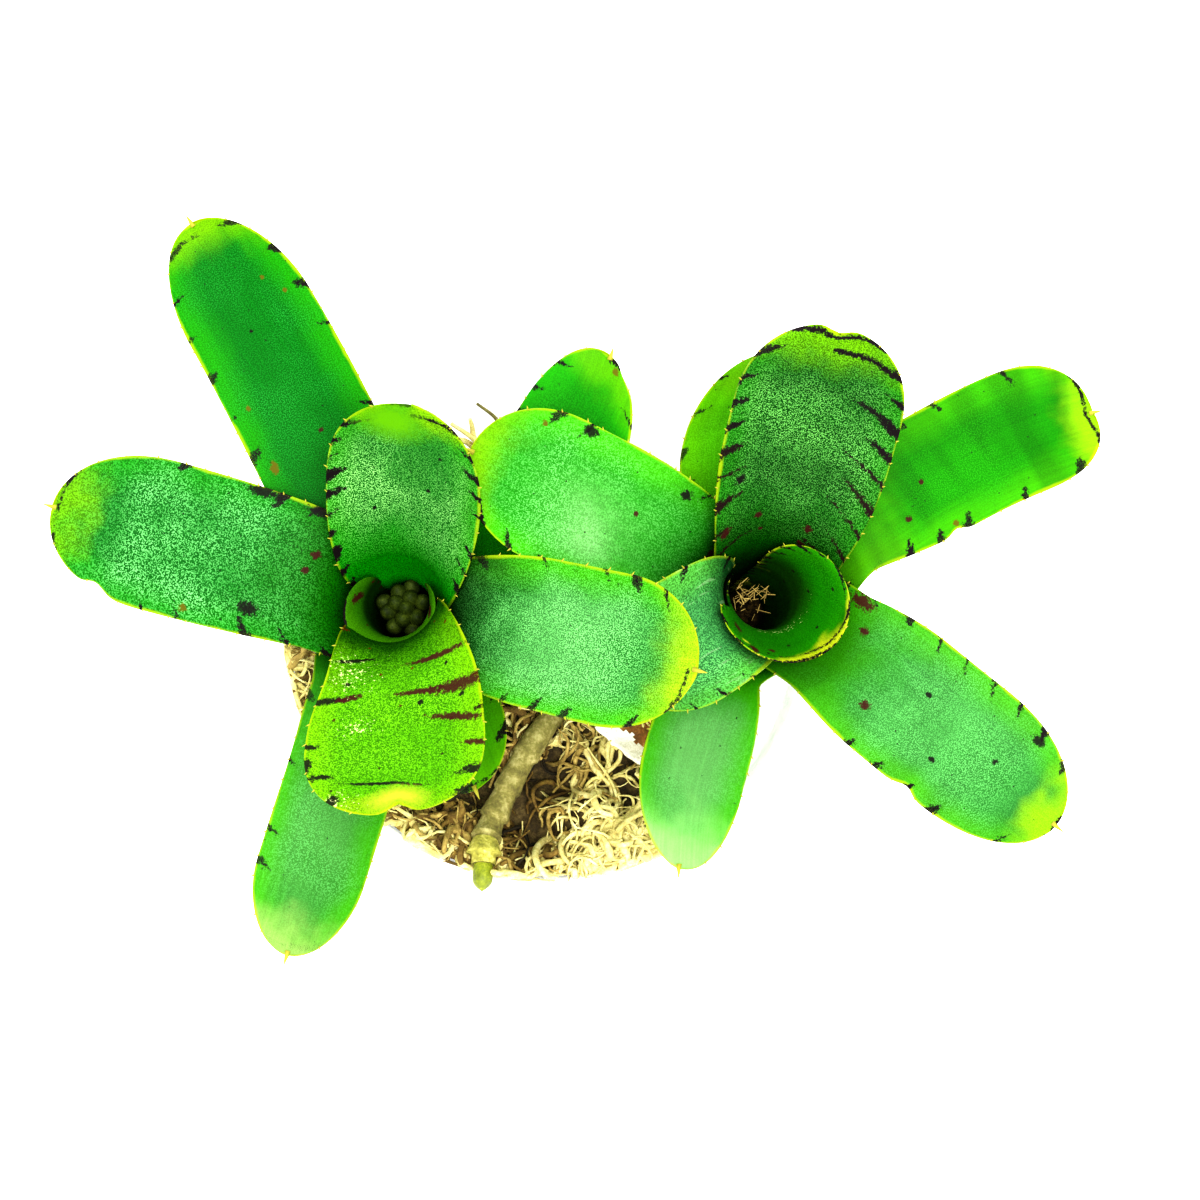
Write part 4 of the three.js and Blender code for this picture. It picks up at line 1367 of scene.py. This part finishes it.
# ---------- moss ----------
@dataclass
class MossBuilder:
    """The moss: a dark lumpy bed under hundreds of dry curls, thick ropes and thin threads."""

    ropes: int = 430
    threads: int = 1300
    rings: int = 30
    turns: int = 144
    lump: float = 4.2
    lump_size: float = 13.0
    seed: int = 3
    pile: float = 8.0
    # heaps, with a positive share, and hollows, with a negative one; tone() also makes a heap's
    # strands paler, as painted light, and a hollow's darker, as painted shade
    mounds: tuple[tuple[float, float, float, float], ...] = (
        (-6, -60, 7, -2.0), (-3, -44, 6, -1.4), (-1, -66, 5, -1.2), (-9, -71, 4, -1.0),
        (4, -51, 4, -1.8), (-18, -50, 7, -1.4), (-30, -62, 5, -1.0), (18, -69, 8, 1.4),
        (13, -57, 6, 1.2), (-44, -64, 7, 1.0), (28, -62, 7, 1.2)
    )
    keep_clear: list[tuple[Vector, float]] = field(default_factory=list)

    def heap(self, x: float, y: float) -> float:
        """How heaped the moss is at a place, from about -1 in a hollow to 1."""
        heap = 1.3 * noise.noise(
            Vector((x, y, 0)) / self.lump_size
        ) + 0.5 * noise.noise(Vector((x, y, 9)) / 5.0)
        for mound_x, mound_y, size, share in self.mounds:
            heap += share * exp(-((x - mound_x) ** 2 + (y - mound_y) ** 2) / size**2)
        return clamp(heap, -1.3, 1.3)

    def bed_height(self, x: float, y: float) -> float:
        """The bed's surface: a little under the frame's moss, with lumps and pits.

        It is piled against the rim at the left and the front.
        """
        piled = self.piled(x, y)
        return MOSS.height(
            x, y
        ) - 2.4 + self.lump * self.heap(x, y) * (1 - 0.7 * piled) + self.pile * piled

    @staticmethod
    def piled(x: float, y: float) -> float:
        """How far the moss is piled against the rim at a place, from 0 to 1."""
        return smooth(63, 77, hypot(x, y)) * smooth(-10, 35, -y - 0.9 * x)

    def bed(self) -> Object:
        """Spins a disc and drops it on the moss's surface, with the bed's side and underside."""
        bottom = POT.floor + MOSS.gap
        foot = POT.inner_wall(bottom) - MOSS.gap
        outline = [(i / self.rings, 200.0) for i in range(self.rings + 1)]
        bm = spun([*outline, (1.001, bottom), (0.0, bottom)], self.turns)
        for vert in bm.verts:
            share = min(hypot(vert.co.x, vert.co.y), 1.0)
            turn = atan2(vert.co.y, vert.co.x)
            on_top = vert.co.z > 100
            vert.co = polar(share * (MOSS.reach(turn) if on_top else foot), turn, bottom)
            if on_top:
                vert.co.z = self.bed_height(vert.co.x, vert.co.y)
        for face in bm.faces:
            middle = face.calc_center_median()
            edge = self.piled(middle.x, middle.y) + 0.4 * noise.noise(middle / 4)
            face.material_index = int(middle.z > 60 and middle.x < -30 and edge > 0.4)
        bmesh.ops.recalc_face_normals(bm, faces=bm.faces)
        return finish_piece("moss_bed", bm, [Fibre.MOSS_BED, Fibre.STRAW], "dry_moss", "moss")

    def seat(self, point: Vector, radius: float) -> Vector:
        """Moves a strand's point clear of the pot's wall and of all that stands in the moss."""
        for centre, clearance in self.keep_clear:
            gap = point - centre
            if gap.length < clearance + radius:
                gap.z = min(gap.z, 0.0) - 0.5
                point = centre + gap.normalized() * (clearance + radius)
        away = hypot(point.x, point.y)
        limit = POT.inner_wall(min(point.z, POT.height)) - MOSS.gap - radius
        if point.z > POT.height + 0.6 * radius:
            limit = POT.mouth_radius + 1.2 - radius
            point = Vector((point.x, point.y, max(point.z, POT.height + radius)))
        if away > limit:
            point = Vector((point.x * limit / away, point.y * limit / away, point.z))
        return point

    def place(self, state: random.Random) -> Vector:
        """A place on the moss, more often on a heap or along the piled edge than in a hollow."""
        if state.random() < 0.26:
            turn = radians(state.uniform(165, 305))
            return polar(state.uniform(67, 77.5), turn, 0)
        while True:
            turn = state.uniform(0, tau)
            spot = polar(sqrt(state.random()) * 0.985 * MOSS.reach(turn), turn, 0)
            if self.heap(spot.x, spot.y) > state.uniform(-1.3, 0.1):
                return spot

    def tone(self, x: float, y: float, state: random.Random) -> int:
        """A strand's tone: paler towards the right-hand front, browner at the left and middle."""
        # painted light and shade: strands are paler towards the right-hand front, where the light
        # is brightest, and on heaps, and darker in hollows, where shade falls
        pale = 0.46 + 0.026 * max(x, -14) + 0.5 * self.heap(x, y) + 0.75 * self.piled(x, y)
        pale += state.uniform(-0.45, 0.45)
        return sum(pale <= step for step in (0.6, 0.2, -0.2))

    def curl(self, state: random.Random, radius: float, points: int) -> Strand:
        """One dry curl, lying or half standing on the bed.

        Args:
            state: the source of chance.
            radius: the strand's radius.
            points: how many points it has.

        Returns:
            The strand.
        """
        foot = self.place(state)
        start = state.uniform(0, tau)
        straight = state.random() < 0.3
        bend = state.uniform(12.0, 26.0) if straight else state.uniform(2.6, 6.4)
        span = radians(state.uniform(35, 90) if straight else state.uniform(160, 430))
        lean = radians(state.uniform(0, 14) if straight else state.uniform(0, 65))
        tilt = Matrix.Rotation(lean, 3, polar(1, start, 0))
        growth = state.uniform(-0.5, 0.5)
        lift = state.uniform(0.4, 2.4) + 1.2 * radius
        wave = Vector((state.uniform(0, 50), 0, 0))
        strand = Strand([], [], self.tone(foot.x, foot.y, state))
        for i in range(points):
            share = i / (points - 1)
            angle = start + span * (share - 0.5)
            size = bend * (1 + growth * (share - 0.5))
            arc = tilt @ polar(size, angle, 2.4 * (share - 0.5))
            if straight:
                arc -= polar(bend, start, 0)
            spot = foot + arc + noise.noise_vector(wave + Vector((0, 0, 4 * share))) * 1.6
            spot.z += self.bed_height(spot.x, spot.y) + lift
            strand.points.append(self.seat(spot, radius))
            lumpy = 1 + 0.3 * noise.noise(wave + Vector((0, 9, 11 * share)))
            strand.radii.append(
                radius * lumpy * (0.55 + 0.45 * sin(pi * min(1.0, share * 1.1 + 0.05)))
            )
        return strand

    def build(self) -> list[Object]:
        """Makes the bed, the ropes and the threads."""
        state = random.Random(self.seed)
        noise.seed_set(self.seed)
        tones = [Fibre.STRAW, Fibre.TAN, Fibre.BROWN, Fibre.DARK]
        ropes = [self.curl(state, state.uniform(0.8, 1.6), 17) for _ in range(self.ropes)]
        threads = [self.curl(state, state.uniform(0.3, 0.85), 14) for _ in range(self.threads)]
        return [
            self.bed(), finish_piece("moss_ropes", strands_mesh(ropes, 8), tones, "dry_moss"),
            finish_piece("moss_threads", strands_mesh(threads, 4), tones, "dry_moss")
        ]


# ---------- stolon, root and withered leaves ----------
@dataclass
class StolonBuilder:
    """The creeping stem with its clasping bracts and the bud under the last of them."""

    path: tuple[tuple[float, float, float], ...] = (
        (-17, -7, 79), (-6, -11, 84), (3, -17, 95), (4, -24, 110), (0, -31, 119.5),
        (-7.5, -43, 121.5), (-13, -54, 122), (-16.8, -63, 124.3), (-18, -68.5, 127.3),
        (-18.3, -74, 128.6)
    )
    radius: float = 3.5
    bracts: tuple[tuple[float, float], ...] = (
        (0.43, 0.5), (0.54, 0.9), (0.64, 0.8), (0.74, 1.2), (0.84, 1.3), (0.94, 1.9)
    )
    bract_reach: float = 0.11
    bud_radius: float = 2.9
    bud_length: float = 8.0

    def line(self) -> list[Vector]:
        """The middle line in even steps."""
        return smooth_path(self.path, 12)

    def radius_at(self, share: float) -> float:
        """The stem's radius, which each bract swells up to its edge."""
        flare = 0.0
        for edge, height in self.bracts:
            before = (share - edge) / self.bract_reach + 1
            if 0 < before < 1:
                flare = max(flare, height * before**1.4)
        return self.radius + flare + 0.18 * noise.noise(Vector((share * 70, 0, 0)))

    def build(self) -> Object:
        """Sweeps the stem with its bracts, the bud that comes out of the last, and its hood."""
        points = self.line()
        radii = [self.radius_at(i / (len(points) - 1)) for i in range(len(points))]
        heading = (points[-1] - points[-4]).normalized()
        bud = Strand([], [], 1)
        for k in range(15):
            t = k / 14
            droop = Vector((0, 0, -0.8 * t * t))
            bud.points.append(points[-1] + heading * mix(-3.0, self.bud_length, t) + droop)
            bud.radii.append(max(0.2, self.bud_radius * (0.85 + 0.35 * t) * cos(pi / 2 * t**4)))
        hood = Strand(points[-16:], [radius + 0.12 for radius in radii[-16:]], 2)
        return finish_piece(
            "runner", strands_mesh([Strand(points, radii), bud, hood], 20),
            [Fibre.RUNNER, Fibre.RUNNER_BUD, Fibre.RUNNER_HOOD], "stolon", "stolon"
        )


@dataclass
class RootBuilder:
    """The wiry aerial root that hooks over the back of the moss, and the stray straws beside it."""

    path: tuple[tuple[float, float, float], ...] = (
        (-10, 44, 104), (-11.5, 51, 111), (-13.3, 58, 118), (-16, 62.5, 123), (-21.5, 66, 127)
    )
    radius: float = 1.0
    straws: tuple[tuple[tuple[float, float, float], ...], ...] = (
        ((-17, 49, 112), (-20, 53.5, 117.5), (-23.5, 57, 121), (-29.5, 60.5, 124)),
        ((-19, 51, 113), (-22.5, 56.5, 119.5), (-23.2, 60, 122), (-23.8, 62, 124)),
        ((-18, 50, 112), (-24, 55.5, 118), (-27.5, 56.5, 120), (-30, 56.5, 121))
    )

    def build(self) -> Object:
        """Sweeps the root and the straws."""
        points = smooth_path(self.path, 8)
        radii = [self.radius * mix(1.05, 0.45, i / (len(points) - 1)) for i in range(len(points))]
        strands = [Strand(points, radii)]
        for straw in self.straws:
            line = smooth_path(straw, 5)
            radii = [mix(1.15, 0.55, i / (len(line) - 1)) for i in range(len(line))]
            strands.append(Strand(line, radii, 1))
        finishes = [Fibre.ROOT, Fibre.STRAW]
        return finish_piece("back_root", strands_mesh(strands, 10), finishes, "root", "aerial_root")


@dataclass
class WitheredLeaf:
    """A withered leaf end that follows the moss; its second finish is its left-hand margin's."""

    name: str
    path: tuple[tuple[float, float], ...]
    half_width: float
    arch: float
    finishes: tuple[Fibre, ...]
    margin: float = 0.0
    above: float = 1.6
    thickness: float = 0.8
    crumple: float = 0.7
    covered: int = 0

    def build(self) -> Object:
        """Lays a crumpled sheet along the path."""
        line = smooth_path([(x, y, 0) for x, y in self.path], 12)
        bm = bmesh.new()
        bmesh.ops.create_grid(bm, x_segments=16, y_segments=36, size=1)
        for face in bm.faces:
            middle = face.calc_center_median()
            fray = 0.25 * noise.noise(Vector((middle.x, middle.y * 5, 2)))
            face.material_index = int(len(self.finishes) > 1 and middle.x > self.margin + fray)
        for vert in bm.verts:
            t, share = vert.co.x, clamp((vert.co.y + 1) / 2)
            place = share * (len(line) - 1)
            i = min(int(place), len(line) - 2)
            middle = line[i].lerp(line[i + 1], place - i)
            along = (line[i + 1] - line[i]).normalized()
            side = Vector((-along.y, along.x, 0))
            half = self.half_width * sqrt(1 - 0.85 * share**3) * (
                1 + 0.1 * noise.noise(Vector((share * 7, t, 5)))
            )
            spot = middle + side * (t * half)
            curl = self.arch * (1 - t * t) if self.arch > 0 else -self.arch * t * t
            rough = self.crumple * noise.noise(Vector((spot.x, spot.y, 4)) / 5)
            vert.co = (spot.x, spot.y, MOSS.height(spot.x, spot.y) + self.above + curl + rough)
        bmesh.ops.recalc_face_normals(bm, faces=bm.faces)
        bmesh.ops.solidify(bm, geom=bm.faces[:], thickness=self.thickness)
        bmesh.ops.recalc_face_normals(bm, faces=bm.faces)
        return finish_piece(self.name + "_sheet", bm, self.finishes, "withered_leaf", self.name)

    def cover(self) -> list[tuple[Vector, float]]:
        """Balls over the sheet that the moss's curls stay under, apart from its covered end."""
        rows = smooth_path([(x, y, 0) for x, y in self.path], 2)
        rows = rows[: len(rows) - self.covered]
        reach = 0.8 * self.half_width
        return [
            (
                Vector((p.x, p.y, MOSS.height(p.x, p.y) + self.above + reach)), reach + 1
            ) for p in rows
        ]


# ---------- pot ----------
@dataclass
class PotBuilder:
    """The moulded pot: a tapered wall with a rolled lip and drain holes."""

    steps: int = 160
    round_steps: int = 5

    def outline(self) -> list[tuple[float, float]]:
        """The wall's section, with every outer edge rounded."""
        under_lip = POT.height - POT.lip_height
        wall = POT.inner_wall(under_lip) + POT.wall
        corners = [
            (0, 0, 0), (POT.base_radius, 0, 1.6), (wall, under_lip, 0.4),
            (wall + POT.lip_step, under_lip + POT.edge, 0.7), (POT.rim_radius, POT.height, 1.2),
            (POT.mouth_radius, POT.height, 1.2), (POT.inner_wall(POT.floor), POT.floor, 1.5),
            (0, POT.floor, 0)
        ]
        points = []
        for i, (r, z, size) in enumerate(corners):
            here = Vector((r, z))
            if not size:
                points.append((r, z))
                continue
            before = (Vector(corners[i - 1][:2]) - here).normalized() * size
            after = (Vector(corners[i + 1][:2]) - here).normalized() * size
            for k in range(self.round_steps + 1):
                t = k / self.round_steps
                place = here + before * (1 - t) ** 2 + after * t**2
                points.append((place.x, place.y))
        return points

    def build(self) -> Object:
        """Spins the section and drills the drain holes."""
        pot = bpy.data.objects.new("pot_shell", mesh_from(spun(self.outline(), self.steps)))
        bpy.context.collection.objects.link(pot)
        drills = bmesh.new()
        for i in range(POT.drain_holes):
            turn = tau * i / POT.drain_holes
            place = polar(POT.drain_ring, turn, POT.floor / 2)
            bmesh.ops.create_cone(
                drills, cap_ends=True, segments=32, radius1=POT.drain_radius,
                radius2=POT.drain_radius, depth=4 * POT.floor, matrix=Matrix.Translation(place)
            )
        drill = bpy.data.objects.new("drill", mesh_from(drills))
        cut = pot.modifiers.new("drain_holes", "BOOLEAN")
        cut.object, cut.solver = drill, "EXACT"
        bpy.context.collection.objects.link(drill)
        evaluated = pot.evaluated_get(bpy.context.evaluated_depsgraph_get())
        mesh = bpy.data.meshes.new_from_object(evaluated)
        for helper in (pot, drill):
            bpy.data.objects.remove(helper)
        piece = finish_piece("pot_shell", mesh, [PotPlastic().material()], "pot_plastic", "pot")
        mesh.set_sharp_from_angle(angle=radians(35))
        return piece


# ---------- studio ----------
@dataclass
class Studio:
    """A pale floor, soft lights and the camera, looking steeply down on the plant."""

    lens: float = 70.0
    elevation: float = 80.0
    distance: float = 642.0
    target: tuple[float, float, float] = (16, -5, 185)
    floor_size: float = 4000.0
    sky: float = 1.75

    def camera(self) -> None:
        """Places the camera."""
        data = bpy.data.cameras.new("camera")
        data.lens, data.sensor_width = self.lens, 36.0
        camera = bpy.data.objects.new("camera", data)
        raised = radians(self.elevation)
        back = Vector((0, -cos(raised), sin(raised)))
        camera.location = (Vector(self.target) + back * self.distance) * MM
        camera.rotation_euler = (pi / 2 - raised, 0, 0)
        bpy.context.collection.objects.link(camera)
        bpy.context.scene.camera = camera

    def floor(self) -> None:
        """Lays the floor."""
        bm = bmesh.new()
        bmesh.ops.create_grid(bm, x_segments=1, y_segments=1, size=self.floor_size / 2)
        mesh = mesh_from(bm)
        material, tree = new_material("pale_floor")
        surface = add(tree, "BsdfPrincipled", Base_Color="#fbfbfb", Roughness=0.9)
        add(tree, "OutputMaterial", Surface=surface)
        mesh.materials.append(material)
        floor = bpy.data.objects.new("floor", mesh)
        bpy.context.collection.objects.link(floor)

    def light(self, name: str, place: Sequence[float], size: float, power: float) -> None:
        """Hangs a square softbox that faces the plant.

        Args:
            name: the light's name.
            place: where it hangs, in metres.
            size: the length of its side in metres.
            power: its power in watts.
        """
        data = bpy.data.lights.new(name, "AREA")
        data.shape, data.size, data.energy = "SQUARE", size, power
        lamp = bpy.data.objects.new(name, data)
        lamp.location = place
        aim = Vector(self.target) * MM - Vector(place)
        lamp.rotation_euler = aim.to_track_quat("-Z", "Y").to_euler()
        bpy.context.collection.objects.link(lamp)

    def build(self) -> None:
        """Sets up the whole studio."""
        world = bpy.data.worlds.new("studio")
        world.use_nodes = True
        world.node_tree.nodes.clear()
        sky = add(world.node_tree, "Background", Color=(1, 1, 1, 1), Strength=self.sky)
        add(world.node_tree, "OutputWorld", Surface=sky)
        bpy.context.scene.world = world
        bpy.context.scene.view_settings.view_transform = "Standard"
        bpy.context.scene.view_settings.look = "High Contrast"
        self.floor()
        self.light("key", (0.12, -0.3, 1.3), 0.8, 17.0)
        self.light("fill", (-0.2, 0.7, 1.2), 0.9, 8.0)
        self.camera()


def main() -> None:
    """Builds every piece in order."""
    logging.basicConfig(level=logging.INFO, format="%(message)s")
    PotBuilder().build()
    stolon = StolonBuilder()
    stolon.build()
    clear = [(point, stolon.radius + 0.9) for point in stolon.line()[::3]]
    for rosette, leaves in ((LEFT, LEFT_LEAVES), (RIGHT, RIGHT_LEAVES)):
        StemBuilder(rosette).build()
        for layer, leaf in enumerate(leaves):
            LeafBuilder(rosette, leaf, layer).build()
        sheath = rosette.foot + len(leaves) * Midrib.PITCH
        clear += [(rosette.matrix() @ Vector((0, 0, z)), sheath) for z in range(0, 32, 4)]
    Throat(LeafBuilder(LEFT, LEFT_LEAVES[2], 2), "throat_left").build()
    FlowerBuds(LEFT).build()
    SpentFlowers(RIGHT).build()
    RootBuilder().build()
    for litter in (
        WitheredLeaf(
            "dead_leaf_left", ((-51, -9), (-58, -10), (-65, -12), (-71, -14)), 7, 2,
            (Fibre.WITHERED,), covered=3
        ),
        WitheredLeaf(
            "dead_leaf_right", ((20, -27), (25, -32), (30, -37.5), (35, -43)), 8, -2,
            (Fibre.BLEACHED, Fibre.WITHERED), margin=-0.3
        )
    ):
        litter.build()
        clear += litter.cover()
    MossBuilder(keep_clear=clear).build()
    Studio().build()


if __name__ == "__main__":
    main()
